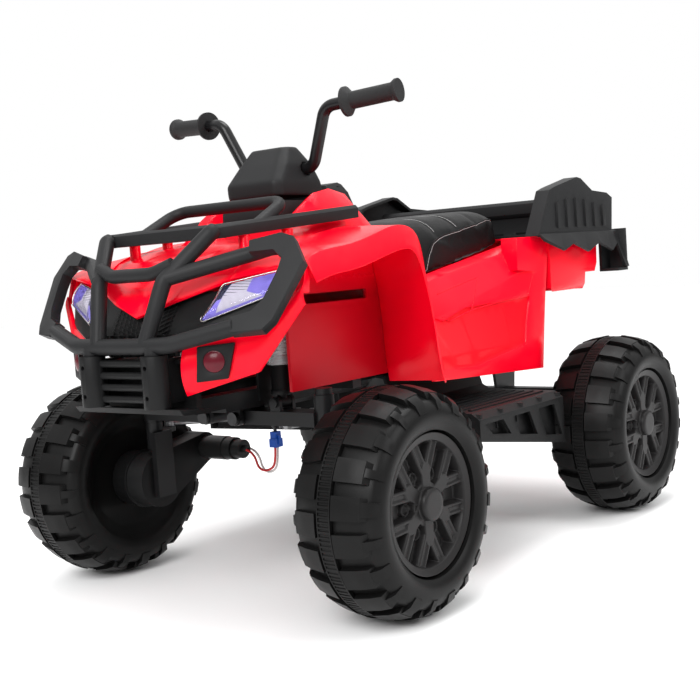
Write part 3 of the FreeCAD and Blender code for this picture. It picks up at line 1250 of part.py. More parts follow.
def save(name, shape):
    shape.exportStep("parts/" + name + ".step")
    solids = len(shape.Solids)
    size = shape.BoundBox
    print(name, "solids", solids, "valid", shape.isValid(), "box", [round(v, 1) for v in (
        size.XMin, size.XMax, size.YMin, size.YMax, size.ZMin, size.ZMax)])


def placed(shape, at):
    copy = shape.copy()
    copy.translate(at)
    return copy


tyre = make_tyre()
disc = make_disc()
for end, y in (("front", FRONT_AXLE_Y), ("rear", REAR_AXLE_Y)):
    at = V(WHEEL_X, y, TYRE_R)
    for name, shape in (("tyre", tyre), ("wheel_disc", disc)):
        left = placed(shape, at)
        save(name + "_" + end + "_left", left)
        save(name + "_" + end + "_right", mirrored(left))

front_gear = placed(make_gearbox(GEAR_REACH), GEAR_AT_FRONT)
front_motor = placed(make_motor(GEAR_REACH), GEAR_AT_FRONT)
rear_gear = placed(make_gearbox(-GEAR_REACH), GEAR_AT_REAR)
rear_motor = placed(make_motor(-GEAR_REACH), GEAR_AT_REAR)
PAIRS = {
    "gearbox_front": front_gear,
    "motor_front": front_motor,
    "knuckle": make_knuckle(),
    "suspension_arm": make_arm(),
    "shock_tube": make_shock_tube(),
    "shock_spring": make_spring(),
    "tie_rod": make_tie_rod(),
    "front_fender": make_fender(),
    "side_panel": make_side_panel(),
    "headlamp_lens": make_headlamp(),
    "grip": make_grip(),
}
for name, left in PAIRS.items():
    save(name + "_left", left)
    save(name + "_right", mirrored(left))
save("footboard_left", make_footboard(False))
save("footboard_right", mirrored(make_footboard(True)))
save("throttle_pedal", mirrored(make_pedal()))

GROUPS = {
    "rear_gearboxes": rear_gear,
    "rear_motors": rear_motor,
    "shock_sleeves": make_sleeve(),
    "fog_lamp_bezels": make_fog_bezel(),
    "fog_lamp_lenses": make_fog_lens(),
}
for name, left in GROUPS.items():
    save(name, Part.makeCompound([left, mirrored(left)]))

save("main_frame", make_frame())
save("arm_pivot_bolts", make_pivot_bolts())
save("rear_axle", make_rear_axle())
save("floor_tub", make_tub())
save("battery", make_battery())
save("control_box", make_control_box())
save("hood", make_hood())
save("dash_cowl", make_cowl())
save("power_button", make_power_button())
save("direction_rocker", make_rocker())
save("seat", make_seat())
save("rear_body", make_rear_body())
save("rear_rack", make_rear_rack())
save("front_rack", make_rack())
save("bumper_guard", make_guard())
save("skid_plate", make_skid())
save("grille_panel", make_grille())
save("steering_shaft", make_steering_shaft())
save("handlebar", tube(bar_route(), BAR_R, 24))
save("handlebar_pod", make_pod())
save("motor_lead", make_lead())
save("lead_plug", make_plug())
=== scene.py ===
import math

import bmesh
import bpy
import numpy as np
from mathutils import Matrix, Vector


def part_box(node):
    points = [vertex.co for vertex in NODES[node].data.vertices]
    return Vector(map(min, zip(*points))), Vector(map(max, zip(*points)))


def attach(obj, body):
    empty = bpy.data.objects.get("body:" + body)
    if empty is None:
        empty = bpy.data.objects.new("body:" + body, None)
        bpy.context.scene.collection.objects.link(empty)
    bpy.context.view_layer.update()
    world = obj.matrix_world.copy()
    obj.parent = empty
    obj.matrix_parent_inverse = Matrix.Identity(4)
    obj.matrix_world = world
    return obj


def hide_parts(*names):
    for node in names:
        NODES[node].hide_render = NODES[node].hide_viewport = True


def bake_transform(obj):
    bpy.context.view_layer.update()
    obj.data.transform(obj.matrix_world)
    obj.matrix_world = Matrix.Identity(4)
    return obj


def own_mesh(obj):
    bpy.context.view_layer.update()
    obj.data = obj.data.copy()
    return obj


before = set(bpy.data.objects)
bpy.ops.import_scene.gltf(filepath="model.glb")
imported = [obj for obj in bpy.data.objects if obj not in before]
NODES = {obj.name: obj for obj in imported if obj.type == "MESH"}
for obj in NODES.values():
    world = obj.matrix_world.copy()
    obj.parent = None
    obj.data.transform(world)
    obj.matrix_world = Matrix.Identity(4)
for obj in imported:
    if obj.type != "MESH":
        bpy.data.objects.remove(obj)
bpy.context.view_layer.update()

bl_info = {
    "name": "Kids quad bike",
    "version": (1, 0, 0),
    "blender": (4, 5, 0),
    "location": "View3D > Sidebar > Quad bike",
    "description": "Finishes, seat, lamps, small parts and stage of a child's ride-on quad bike",
    "category": "Object",
}

WHEELS = ("front_left", "front_right", "rear_left", "rear_right")
SIDES = ((1, "left"), (-1, "right"))

# Forms are worked out in millimetres and multiplied by MM; other lengths are in metres.
MM = 0.001


# Shader maths

class Wire:
    """A shader socket that takes part in sums: each operation adds one Math node to the tree."""

    def __init__(self, tree, socket=None):
        self.tree = tree
        self.socket = socket

    def node(self, kind, settings=None, sockets=None, output=0):
        """Adds a node of a type, sets its settings first, then the values or links of its sockets."""
        made = self.tree.nodes.new(kind)
        for key, value in (settings or {}).items():
            setattr(made, key, value)
        for key, value in (sockets or {}).items():
            if isinstance(value, Wire):
                self.tree.links.new(value.socket, made.inputs[key])
            else:
                made.inputs[key].default_value = value
        return Wire(self.tree, made.outputs[output])

    def sum(self, operation, *values):
        return self.node("ShaderNodeMath", {"operation": operation}, dict(enumerate(values)))

    def axis(self, name):
        return self.node("ShaderNodeSeparateXYZ", None, {0: self}, name)

    def noise(self, scale, detail=2.0):
        return self.node("ShaderNodeTexNoise", None,
                         {"Vector": self, "Scale": scale, "Detail": detail}, "Fac")

    def between(self, low, high):
        """0 below low, 1 above high, smooth between."""
        return self.node("ShaderNodeMapRange", {"interpolation_type": "SMOOTHSTEP"},
                         {"Value": self, "From Min": low, "From Max": high}, "Result")

    def mix(self, first, second):
        """Colour that goes from first to second as this value goes from 0 to 1."""
        return self.node("ShaderNodeMix", {"data_type": "RGBA"}, {0: self, 6: first, 7: second}, 2)

    def bump(self, strength, distance):
        return self.node("ShaderNodeBump", None,
                         {"Strength": strength, "Distance": distance, "Height": self}, "Normal")

    def __add__(self, other):
        return self.sum("ADD", self, other)

    def __radd__(self, other):
        return self.sum("ADD", other, self)

    def __sub__(self, other):
        return self.sum("SUBTRACT", self, other)

    def __rsub__(self, other):
        return self.sum("SUBTRACT", other, self)

    def __mul__(self, other):
        return self.sum("MULTIPLY", self, other)

    def __rmul__(self, other):
        return self.sum("MULTIPLY", other, self)

    def __gt__(self, other):
        return self.sum("GREATER_THAN", self, other)


def finish(name, build):
    """Material whose shader sockets are what build gives for the object's own coordinates."""
    material = bpy.data.materials.new(name)
    material.use_nodes = True
    tree = material.node_tree
    shader = tree.nodes["Principled BSDF"]
    at = Wire(tree).node("ShaderNodeTexCoord", None, None, "Object")
    for key, value in build(at).items():
        if isinstance(value, Wire):
            tree.links.new(value.socket, shader.inputs[key])
        else:
            shader.inputs[key].default_value = value
    return material


def scaled(colour, *factors):
    """Opaque colour whose three parts are multiplied, all by one factor or each by its own."""
    return tuple(min(c * k, 1.0) for c, k in zip(colour[:3], factors * 3)) + (1.0,)


# Finishes

HOOD_WALL = 0.010
HOOD_SHADE_LOW = 0.42
HOOD_SHADE_HIGH = 0.48


def gloss(at, base):
    """Sockets of the body's moulded gloss: a base colour under a faint ripple."""
    return {"Base Color": base, "Roughness": 0.17 + 0.08 * at.noise(160.0), "IOR": 1.45,
            "Specular IOR Level": 0.18, "Normal": at.noise(22.0, 1.0).bump(0.05, 0.004)}


def red_gloss(colour):
    def build(at):
        return gloss(at, at.noise(9.0).mix(colour, scaled(colour, 0.94, 1.0, 0.8)))
    return finish("red_gloss", build)


def hood_gloss_painted_shade(colour, half):
    """The body's red, darkened low on the walls at the hood's half width as painted shade, and rougher
    there.
    """
    def build(at):
        start = half - HOOD_WALL
        wall_shade = at.sum("ABSOLUTE", at.axis("X")).between(start, start + 0.2 * HOOD_WALL)
        wall_shade = wall_shade * (1.0 - at.axis("Z").between(HOOD_SHADE_LOW, HOOD_SHADE_HIGH))
        # Painted shade: the red is darkened low on the walls, standing in for the shadow under the
        # fenders.
        sockets = gloss(at, wall_shade.mix(colour, scaled(colour, 0.5, 1.0, 0.5)))
        sockets["Roughness"] = sockets["Roughness"] + 0.15 * wall_shade
        return sockets
    return finish("hood_gloss_painted_shade", build)


def panel_gloss_painted_shade(colour):
    """The body's red with painted shade: darker in the recessed field between its upper, lower and rear
    edges.

    Each edge is one or two straight lines in metres along the panel's length and height.
    """
    def build(at):
        y = at.axis("Y")
        z = at.axis("Z")
        upper = at.sum("MINIMUM", 0.3764 + 0.246 * y, 0.3856 + 0.0335 * y)
        lower = at.sum("MAXIMUM", 0.2954 - 0.044 * y, 0.2904 + 0.114 * y)
        rear = 0.0668 + 0.395 * z
        recess_shade = (upper - z).between(-0.001, 0.001) * (z - lower).between(-0.001, 0.006)
        recess_shade = recess_shade * (rear - y).between(-0.001, 0.003)
        # Painted shade: the red is darkened in the recessed field, where shade falls.
        return gloss(at, recess_shade.mix(colour, scaled(colour, 0.8, 0.6, 0.6)))
    return finish("panel_gloss_painted_shade", build)


def grained_black(colour, name="grained_black"):
    def build(at):
        grain = at.noise(2600.0)
        return {"Base Color": at.noise(34.0).mix(colour, scaled(colour, 0.8)),
                "Roughness": 0.42 + 0.14 * grain, "Specular IOR Level": 0.17,
                "Normal": grain.bump(0.2, 0.0004)}
    return finish(name, build)


def moulded_tyre(colour):
    def build(at):
        wide = at.noise(26.0, 3.0)
        return {"Base Color": wide.mix(colour, scaled(colour, 0.75)), "Roughness": 0.3 + 0.16 * wide,
                "Specular IOR Level": 0.13, "Normal": at.noise(900.0).bump(0.1, 0.0006)}
    return finish("moulded_tyre", build)


def satin_wheel(colour):
    def build(at):
        grain = at.noise(1200.0)
        return {"Base Color": colour, "Roughness": 0.32 + 0.12 * grain, "Specular IOR Level": 0.18,
                "Normal": grain.bump(0.1, 0.0004)}
    return finish("satin_wheel", build)


def frame_paint(colour):
    def build(at):
        return {"Base Color": colour, "Roughness": 0.3 + 0.15 * at.noise(300.0),
                "Specular IOR Level": 0.2, "Normal": at.noise(700.0).bump(0.05, 0.0005)}
    return finish("frame_paint", build)


def bar_paint(colour):
    def build(at):
        return {"Base Color": colour, "Roughness": 0.26 + 0.06 * at.noise(90.0),
                "Specular IOR Level": 0.25}
    return finish("bar_paint", build)


def plated_steel(name, bright):
    def build(at):
        cloud = at.noise(120.0, 3.0)
        light = (bright, bright, bright * 1.02, 1)
        return {"Base Color": cloud.mix(light, scaled(light, 0.6)), "Metallic": 1.0,
                "Roughness": 0.36 + 0.18 * cloud}
    return finish(name, build)


def leatherette(colour):
    def build(at):
        cells = at.node("ShaderNodeTexVoronoi", {"feature": "DISTANCE_TO_EDGE"},
                        {"Vector": at, "Scale": 620.0}, "Distance")
        worn = at.noise(30.0, 3.0)
        return {"Base Color": worn.mix(colour, scaled(colour, 1.3)), "Roughness": 0.36 + 0.14 * worn,
                "Specular IOR Level": 0.12, "Normal": cells.between(0.0, 0.12).bump(0.18, 0.0005)}
    return finish("leatherette", build)


def thread_pale():
    def build(at):
        twist = at.noise(1500.0)
        return {"Base Color": twist.mix((0.4, 0.4, 0.4, 1), (0.26, 0.26, 0.26, 1)), "Roughness": 0.7}
    return finish("thread_pale", build)


def grip_rubber(colour):
    def build(at):
        grain = at.noise(1900.0)
        return {"Base Color": colour, "Roughness": 0.55 + 0.12 * grain, "Specular IOR Level": 0.3,
                "Normal": grain.bump(0.15, 0.0004)}
    return finish("grip_rubber", build)


def clear_cover():
    def build(at):
        return {"Base Color": (0.92, 0.92, 1.0, 1), "Roughness": 0.03 + 0.02 * at.noise(60.0),
                "IOR": 1.2, "Transmission Weight": 1.0}
    return finish("clear_cover", build)


def clear_sleeve():
    def build(at):
        return {"Base Color": (0.97, 0.97, 0.98, 1), "Roughness": 0.08 + 0.05 * at.noise(80.0),
                "IOR": 1.4, "Transmission Weight": 0.8}
    return finish("clear_sleeve", build)


def lamp_painted_reflections():
    """Painted reflections, bright grey with dark flutes in the middle and dark blue high on the inner
    side; violet at both sides.

    The map runs from 0 to 1 across the lamp from its inner end, and from 0 to 1 up its face.
    """
    def build(at):
        place = at.node("ShaderNodeUVMap", {"uv_map": "along"}, None, "UV")
        across = place.axis("X")
        up = place.axis("Y")
        past_inner = (across - 0.15 * up).between(0.16, 0.18)
        below = at.sum("MAXIMUM", 0.5 - up, 0.0)
        past_outer = (across - 0.7 * below).between(0.61, 0.63)
        # Painted reflections: the bright grey middle, its dark flute lines and the dark blue patch
        # stand in for what a mirrored reflector shows.
        reflection_fan = past_inner * (1.0 - past_outer) * up.between(0.1, 0.14)
        navy_reflection = (1.0 - past_inner) * up.between(0.5, 0.53)
        flute = at.sum("FRACT", 7.0 * (across + 1.4 * up)) > 0.78
        silver_reflection = (flute * up.between(0.55, 0.62)).mix((0.5, 0.47, 0.48, 1), (0.12, 0.11, 0.12, 1))
        violet = at.noise(70.0).mix((0.25, 0.2, 0.62, 1), (0.14, 0.11, 0.42, 1))
        tint_and_reflection = navy_reflection.mix(violet, (0.012, 0.012, 0.035, 1))
        return {"Base Color": reflection_fan.mix(tint_and_reflection, silver_reflection), "Roughness": 0.4, "Specular IOR Level": 0.2}
    return finish("lamp_painted_reflections", build)


def bright_trim():
    def build(at):
        return {"Base Color": (0.5, 0.49, 0.48, 1), "Metallic": 1.0,
                "Roughness": 0.16 + 0.06 * at.noise(200.0)}
    return finish("bright_trim", build)


def red_lens():
    def build(at):
        return {"Base Color": at.noise(40.0).mix((0.05, 0.003, 0.007, 1), (0.12, 0.006, 0.014, 1)),
                "Roughness": 0.22, "Specular IOR Level": 0.2}
    return finish("red_lens", build)


def plain_moulding(name, colour, rough):
    def build(at):
        return {"Base Color": colour, "Roughness": rough + 0.1 * at.noise(240.0),
                "Specular IOR Level": 0.25}
    return finish(name, build)


def paired_wires():
    """Red and white wires side by side below the plug, black sheath above it.

    The line between the two wires drifts forward by 6 mm where they run across to the plug.
    """
    def build(at):
        drift = 0.006 * at.axis("X").between(-0.0467, -0.012)
        rearward = (at.axis("Y") + drift) > -0.222
        pair = rearward.mix((0.55, 0.012, 0.015, 1), (0.72, 0.7, 0.68, 1))
        above = at.axis("Z").between(0.21, 0.212)
        return {"Base Color": above.mix(pair, (0.015, 0.015, 0.016, 1)),
                "Roughness": 0.35 + 0.1 * at.noise(500.0)}
    return finish("paired_wires", build)


# Surfaces

def grid_faces(rows, cols, round_rows=False, round_cols=False):
    """Quads of a grid of points, closed round along either direction."""
    r = np.arange(rows if round_rows else rows - 1)
    c = np.arange(cols if round_cols else cols - 1)
    a, b = np.meshgrid(r, c, indexing="ij")
    a2 = (a + 1) % rows
    b2 = (b + 1) % cols
    return np.stack([a * cols + b, a2 * cols + b, a2 * cols + b2, a * cols + b2], -1).reshape(-1, 4)


def table(x, rows):
    """Straight runs between the (place, value) rows of a table."""
    return np.interp(x, *np.array(rows, float).T)


def tidy_mesh(mesh):
    """Merges the points that lie on each other and turns the faces outwards."""
    work = bmesh.new()
    work.from_mesh(mesh)
    bmesh.ops.remove_doubles(work, verts=work.verts, dist=1e-6)
    bmesh.ops.recalc_face_normals(work, faces=work.faces)
    work.to_mesh(mesh)
    work.free()


def smooth_shade(mesh, smooth=True):
    mesh.polygons.foreach_set("use_smooth", np.full(len(mesh.polygons), smooth))


def put_object(name, data):
    """Object at the origin with its place in its data, linked to the scene."""
    piece = bpy.data.objects.new(name, data)
    bpy.context.scene.collection.objects.link(piece)
    return piece


def put_mesh(name, points, faces, material, body, slot, smooth=True, outward=True):
    """Piece made of points and faces, riding on a body where one is given; the slot is not used."""
    mesh = bpy.data.meshes.new(name)
    places = np.asarray(points, float).reshape(-1, 3).tolist()
    mesh.from_pydata(places, [], [list(map(int, f)) for f in faces])
    if outward:
        tidy_mesh(mesh)
    smooth_shade(mesh, smooth)
    mesh.materials.append(material)
    piece = put_object(name, mesh)
    if body:
        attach(piece, body)
    return piece


def evaluated_mesh(piece):
    """New mesh of what the piece's modifiers, or its curve, make of it."""
    graph = bpy.context.evaluated_depsgraph_get()
    return bpy.data.meshes.new_from_object(piece.evaluated_get(graph))


def voxels(piece, size):
    """Adds the modifier that makes the piece anew from cubes of a size."""
    remesh = piece.modifiers.new("voxels", "REMESH")
    remesh.mode = "VOXEL"
    remesh.voxel_size = size
    remesh.use_smooth_shade = True


def coordinates(vertices, attribute="co"):
    """Coordinates of a mesh's vertices, or their normals, as rows of three."""
    flat = np.empty(len(vertices) * 3)
    vertices.foreach_get(attribute, flat)
    return flat.reshape(-1, 3)


def tube_parts(path, radius, sides=10):
    """Round section carried along a path: centre + radius (cos a N + sin a B), with flat ends."""
    path = np.asarray(path, float)
    tangent = np.gradient(path, axis=0)
    tangent /= np.linalg.norm(tangent, axis=1, keepdims=True)
    guide = np.eye(3)[np.argmin(np.abs(tangent).max(0))]
    n = np.cross(tangent, guide)
    n /= np.linalg.norm(n, axis=1, keepdims=True)
    b = np.cross(tangent, n)
    a = np.linspace(0, 2 * np.pi, sides, endpoint=False)
    spin = np.cos(a)[None, :, None] * n[:, None] + np.sin(a)[None, :, None] * b[:, None]
    ring = path[:, None] + radius * spin
    count = len(path)
    faces = grid_faces(count, sides, False, True).tolist()
    faces.append(list(range(sides)))
    faces.append([(count - 1) * sides + i for i in range(sides)])
    return ring.reshape(-1, 3), faces


def even_run(stops, steps):
    """Columns of points along straight runs between stops, with this many steps to a run."""
    stops = np.array(stops, float)
    place = np.arange(len(stops))
    s = np.linspace(0, place[-1], steps * place[-1] + 1)
    return [np.interp(s, place, column) for column in stops.T]


def flipped(points, side):
    """Points of the left side, or their mirror images on the right."""
    return points * np.array([side, 1, 1])


def gather(parts):
    """Joins several (points, faces) into one."""
    points = []
    faces = []
    start = 0
    for p, f in parts:
        points.append(p)
        faces.extend([[i + start for i in face] for face in f])
        start += len(p)
    return np.concatenate(points), faces


# Sizes and colours that a user would change

def colour_property(name, description, default):
    return bpy.props.FloatVectorProperty(name=name, description=description, default=default, size=3,
                                         min=0.0, max=1.0, subtype="COLOR")


class QuadColours(bpy.types.PropertyGroup):
    """Colours of the finishes."""

    body: colour_property("Body", "Red of the moulded body panels", (0.92, 0.0006, 0.016))
    plastic: colour_property("Black plastic", "Grained black mouldings", (0.0125, 0.0127, 0.0134))
    tyre: colour_property("Tyre", "Blow-moulded tyres", (0.0048, 0.0047, 0.0047))
    wheel: colour_property("Wheel disc", "Moulded wheel discs", (0.0125, 0.0118, 0.012))
    seat: colour_property("Seat", "Leatherette seat cover", (0.005, 0.005, 0.0052))


class QuadSizes(bpy.types.PropertyGroup):
    """Sizes of the seat's cover, and settings of the stage."""

    stitch: bpy.props.FloatProperty(
        name="Stitch length", description="Length of one stitch on the seat", default=0.005,
        unit="LENGTH")
    puff: bpy.props.FloatProperty(
        name="Seat swell", description="Most that the cushion swells from its form", default=0.005,
        unit="LENGTH")
    lens: bpy.props.FloatProperty(
        name="Camera lens", description="Focal length on a 36 mm sensor", default=58.92, unit="CAMERA")
    light: bpy.props.FloatProperty(
        name="Light", description="Strength of the studio lights", default=1.0, min=0.0)


def colours():
    return bpy.context.scene.quad_colours


def sizes():
    return bpy.context.scene.quad_sizes


# Finishes of the frame's own nodes

# Share of the black's colour kept on the low parts, as painted shade.
LOW_SHADE = 0.4
MOULD_ROUND = 0.0012
CREASE_ANGLE = 32.0
TYRE_ANGLE = 40.0


def smooth_node(piece, bevel, angle):
    """Welds the loose triangles, rounds sharp edges by a small bevel and splits what stays sharp."""
    smooth_shade(piece.data)
    weld = piece.modifiers.new("weld", "WELD")
    weld.merge_threshold = 1e-5
    if bevel:
        rounding = piece.modifiers.new("rounding", "BEVEL")
        rounding.width = bevel
        rounding.segments = 2
        rounding.limit_method = "ANGLE"
        rounding.angle_limit = math.radians(angle)
    split = piece.modifiers.new("split", "EDGE_SPLIT")
    split.split_angle = math.radians(angle)


def dress(material, names, bevel=0.0, angle=CREASE_ANGLE):
    """Gives one material to the nodes of these names and smooths them."""
    for name in names:
        piece = NODES[name]
        piece.data.materials.clear()
        piece.data.materials.append(material)
        smooth_node(piece, bevel, angle)


def pairs(*names):
    return [name + "_" + word for name in names for _, word in SIDES]


class QUAD_OT_finishes(bpy.types.Operator):
    """Gives every node of the frame its finish"""
    bl_idname = "quad.finishes"
    bl_label = "Finishes"

    def execute(self, context):
        chosen = colours()
        body = scaled(chosen.body, 1.0)
        half = float(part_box("hood")[1][0])
        dress(red_gloss(body), ["rear_body"] + pairs("front_fender"), MOULD_ROUND)
        dress(hood_gloss_painted_shade(body, half), ["hood"], MOULD_ROUND)
        dress(panel_gloss_painted_shade(body), pairs("side_panel"), MOULD_ROUND)
        dress(grained_black(scaled(chosen.plastic, 1.0)),
              ["dash_cowl", "rear_rack", "front_rack", "bumper_guard", "handlebar_pod"], MOULD_ROUND)
        # Painted shade: the low and tucked-in black parts take a darker copy of the grained black, for
        # the shade under the body.
        dress(grained_black(scaled(chosen.plastic, LOW_SHADE), "low_black_painted_shade"),
              ["floor_tub", "skid_plate", "grille_panel", "throttle_pedal", "fog_lamp_bezels",
               "control_box", "rear_gearboxes"] + pairs("footboard", "gearbox_front", "shock_tube"),
              MOULD_ROUND)
        dress(moulded_tyre(scaled(chosen.tyre, 1.0)), ["tyre_" + w for w in WHEELS], 0.0, TYRE_ANGLE)
        dress(satin_wheel(scaled(chosen.wheel, 1.0)), ["wheel_disc_" + w for w in WHEELS])
        dress(frame_paint((0.007, 0.007, 0.0075, 1)),
              ["main_frame"] + pairs("suspension_arm", "knuckle"))
        dress(bar_paint((0.005, 0.005, 0.0055, 1)), ["handlebar"])
        dress(plated_steel("plated_steel", 0.4),
              ["rear_axle", "steering_shaft"] + pairs("tie_rod", "shock_spring"))
        dress(plated_steel("dull_steel", 0.07), ["arm_pivot_bolts"])
        dress(plain_moulding("motor_can", (0.012, 0.012, 0.012, 1), 0.35),
              ["rear_motors"] + pairs("motor_front"))
        dress(grip_rubber((0.009, 0.009, 0.0094, 1)), pairs("grip"))
        dress(clear_sleeve(), ["shock_sleeves"])
        dress(red_lens(), ["fog_lamp_lenses"])
        dress(plain_moulding("battery_case", (0.1, 0.1, 0.11, 1), 0.45), ["battery"])
        dress(plain_moulding("power_green", (0.03, 0.3, 0.09, 1), 0.25), ["power_button"])
        dress(plain_moulding("rocker_red", (0.5, 0.012, 0.02, 1), 0.25), ["direction_rocker"])
        dress(plain_moulding("plug_blue", (0.012, 0.08, 0.42, 1), 0.3), ["lead_plug"])
        return {"FINISHED"}


# Seat

CHANNELS = (70.0, 138.0, 206.0)
CHANNEL_DEPTH = 3.5
CHANNEL_WIDTH = 4.5
CHANNEL_END = 0.72
CHANNEL_ASIDE = 4.0

# The side seam as places along the length and turns of the section, and the distance and the turn by
# which the piping and the stitches stand to either side of it.
SEAM = ((30, 0.0), (35, 0.065), (43, 0.19), (58, 0.38), (77, 0.47), (98, 0.51), (143, 0.54),
        (204, 0.62), (296, 0.8))
SEAM_STEPS = 20
SEAM_SIDE = (1.5, 0.02)

# The cushion's half width and crown along its length, and where its base steps up on the rear block.
SEAT_ENDS = (-50, 310)
SEAT_HALF = ((-50, 80), (-32, 100), (0, 117), (50, 126), (97, 127), (150, 126), (201, 123),
             (250, 118), (286, 107), (302, 94), (310, 82))
SEAT_CROWN = ((-50, 512), (-32, 524), (0, 531), (50, 534), (100, 537), (150, 541), (200, 544),
              (250, 546), (286, 542), (302, 531), (310, 514))
SEAT_SINK = 2.5
BLOCK_Y = 289.5
BLOCK_STEP = 8.0
FLANK_POWER = 0.42
CROWN_POWER = 0.62
SEAT_VOXEL = 0.005
CLOTH_PRESSURE = 4.0
CLOTH_STEPS = 20
PIPING_R = 0.0010
PIPING_LIFT = 0.0004
THREAD_R = 0.00045
THREAD_LIFT = 0.0005


def panel_edge(y):
    """Height in millimetres of the side panels' upper edge, a straight line along the length."""
    return 429.0 + 0.1603 * (y + 92.0)


def seat_point(y, a):
    """Cushion form: half width times a power of cos a, height above the base times a power of sin a.

    The base stands just below the panels' edge, and steps up on the rear block. The flank is drawn in a
    little above the base, and the crown sinks at each channel.
    """
    low = panel_edge(y) - SEAT_SINK + np.where(y > BLOCK_Y, BLOCK_STEP, 0.0)
    c = np.cos(a)
    s = np.sin(a)
    flank = 1.0 - 0.035 * np.exp(-((s - 0.25) / 0.22) ** 2)
    x = table(y, SEAT_HALF) * np.sign(c) * np.abs(c) ** FLANK_POWER * flank
    z = low + (table(y, SEAT_CROWN) - low) * np.abs(s) ** CROWN_POWER
    for groove in CHANNELS:
        sink = np.exp(-((y - groove) / CHANNEL_WIDTH) ** 2)
        z = z - CHANNEL_DEPTH * sink * np.clip(s, 0, 1) ** 3
    return np.stack([x, y + 0 * a, z], -1) * MM


def seat_form():
    """Closed cushion: sections from one lower edge over the crown to the other, and a flat base."""
    y = np.linspace(*SEAT_ENDS, 61)
    a = np.linspace(0, np.pi, 49)
    grid = seat_point(y[:, None], a[None, :])
    cols = len(a)
    faces = grid_faces(len(y), cols, False, True).tolist()
    faces.append(list(range(cols)))
    faces.append([(len(y) - 1) * cols + i for i in range(cols)])
    return grid.reshape(-1, 3), faces


def swell(piece, most):
    """Cushion filled under light pressure by the cloth solver, no point moving further than the cap."""
    scene = bpy.context.scene
    voxels(piece, SEAT_VOXEL)
    apply_modifiers(piece)
    start = coordinates(piece.data.vertices)
    cloth = piece.modifiers.new("fill", "CLOTH")
    cloth.settings.use_pressure = True
    cloth.settings.uniform_pressure_force = CLOTH_PRESSURE
    cloth.settings.effector_weights.gravity = 0.0
    for step in range(CLOTH_STEPS):
        scene.frame_set(step + 1)
    apply_modifiers(piece)
    scene.frame_set(1)
    move = coordinates(piece.data.vertices) - start
    reach = np.linalg.norm(move, axis=1, keepdims=True)
    move *= np.minimum(1.0, most / np.maximum(reach, 1e-9))
    piece.data.vertices.foreach_set("co", (start + move).reshape(-1))
    piece.data.update()


def apply_modifiers(piece):
    """Replaces the piece's mesh by what its modifiers make of it."""
    made = evaluated_mesh(piece)
    old = piece.data
    piece.modifiers.clear()
    piece.data = made
    made.name = piece.name
    bpy.data.meshes.remove(old)


def on_surface(piece, points, lift):
    """Points moved along the nearest vertex's normal into its tangent plane, then lifted from it."""
    place = coordinates(piece.data.vertices)
    normal = coordinates(piece.data.vertex_normals, "vector")
    nearest = np.argmin(((points[:, None] - place[None]) ** 2).sum(-1), axis=1)
    away = ((points - place[nearest]) * normal[nearest]).sum(-1, keepdims=True)
    return points + (lift - away) * normal[nearest]


def stitch_parts(path, length, radius):
    """Short tubes along a path: one stitch of the length, then a gap of a fifth of it."""
    step = np.concatenate([[0], np.cumsum(np.linalg.norm(np.diff(path, axis=0), axis=1))])
    pitch = length * 1.2
    parts = []
    for i in range(int(step[-1] / pitch)):
        s = np.linspace(0, length, 5) + i * pitch
        p = np.stack([np.interp(s, step, path[:, k]) for k in range(3)], -1)
        parts.append(tube_parts(p, radius, 6))
    return parts


class QUAD_OT_seat(bpy.types.Operator):
    """Padded seat with its seams and stitching"""
    bl_idname = "quad.seat"
    bl_label = "Seat"

    def execute(self, context):
        cover = leatherette(scaled(colours().seat, 1.0))
        seat = put_mesh("seat_cushion", *seat_form(), cover, "chassis", "seat_leather")
        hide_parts("seat")
        swell(seat, sizes().puff)
        smooth_shade(seat.data)
        smoother = seat.modifiers.new("smooth", "SUBSURF")
        smoother.levels = 1
        smoother.render_levels = 1
        stitches = []
        piping = []
        y, a = even_run(SEAM, SEAM_STEPS)
        aside, turned = SEAM_SIDE
        for side, _ in SIDES:
            line = flipped(seat_point(y - aside, a + turned), side)
            piping.append(tube_parts(on_surface(seat, line, PIPING_LIFT), PIPING_R, 8))
            stitches.append(flipped(seat_point(y + aside, np.maximum(a - turned, 0.0)), side))
        for channel in CHANNELS[:2]:
            turn = np.linspace(CHANNEL_END, np.pi - CHANNEL_END, 90)
            stitches.append(seat_point(np.full(len(turn), channel + CHANNEL_ASIDE), turn))
        parts = []
        for line in stitches:
            laid = on_surface(seat, line, THREAD_LIFT)
            parts.extend(stitch_parts(laid, sizes().stitch, THREAD_R))
        put_mesh("seat_stitching", *gather(parts), thread_pale(), "chassis", "seat_leather")
        put_mesh("seat_piping", *gather(piping), cover, "chassis", "seat_leather")
        return {"FINISHED"}


# Headlamps

LAMP_START = 112.0
LAMP_SPAN = 86.0
LAMP_SCALE = 85.0
LAMP_STOPS = np.array([0.0, 16.0, 48.0, 78.0, 86.0]) / LAMP_SCALE
COVER_THICK = 1.3
REFLECTOR_DEPTH = 2.2
FLUTES = 9
FLUTE_LEAN = 2
FLUTE_DEPTH = 0.9
TRIM_SINK = 0.2
TRIM_R = 0.0008


def lamp_lines(k):
    """Lower edge, middle and upper edge of the lamp face as (y, z) at the stops k along its width."""
    low = np.stack([-482 + 40 * k, 411 + 29 * k], -1)
    rise = np.minimum(k * 5.4, 1)
    high = np.stack([-474 + 13 * rise + 39 * k, 420 + 35 * rise + 16 * k], -1)
    return low, (low + high) / 2 + np.array([-5.0, 1.0]), high


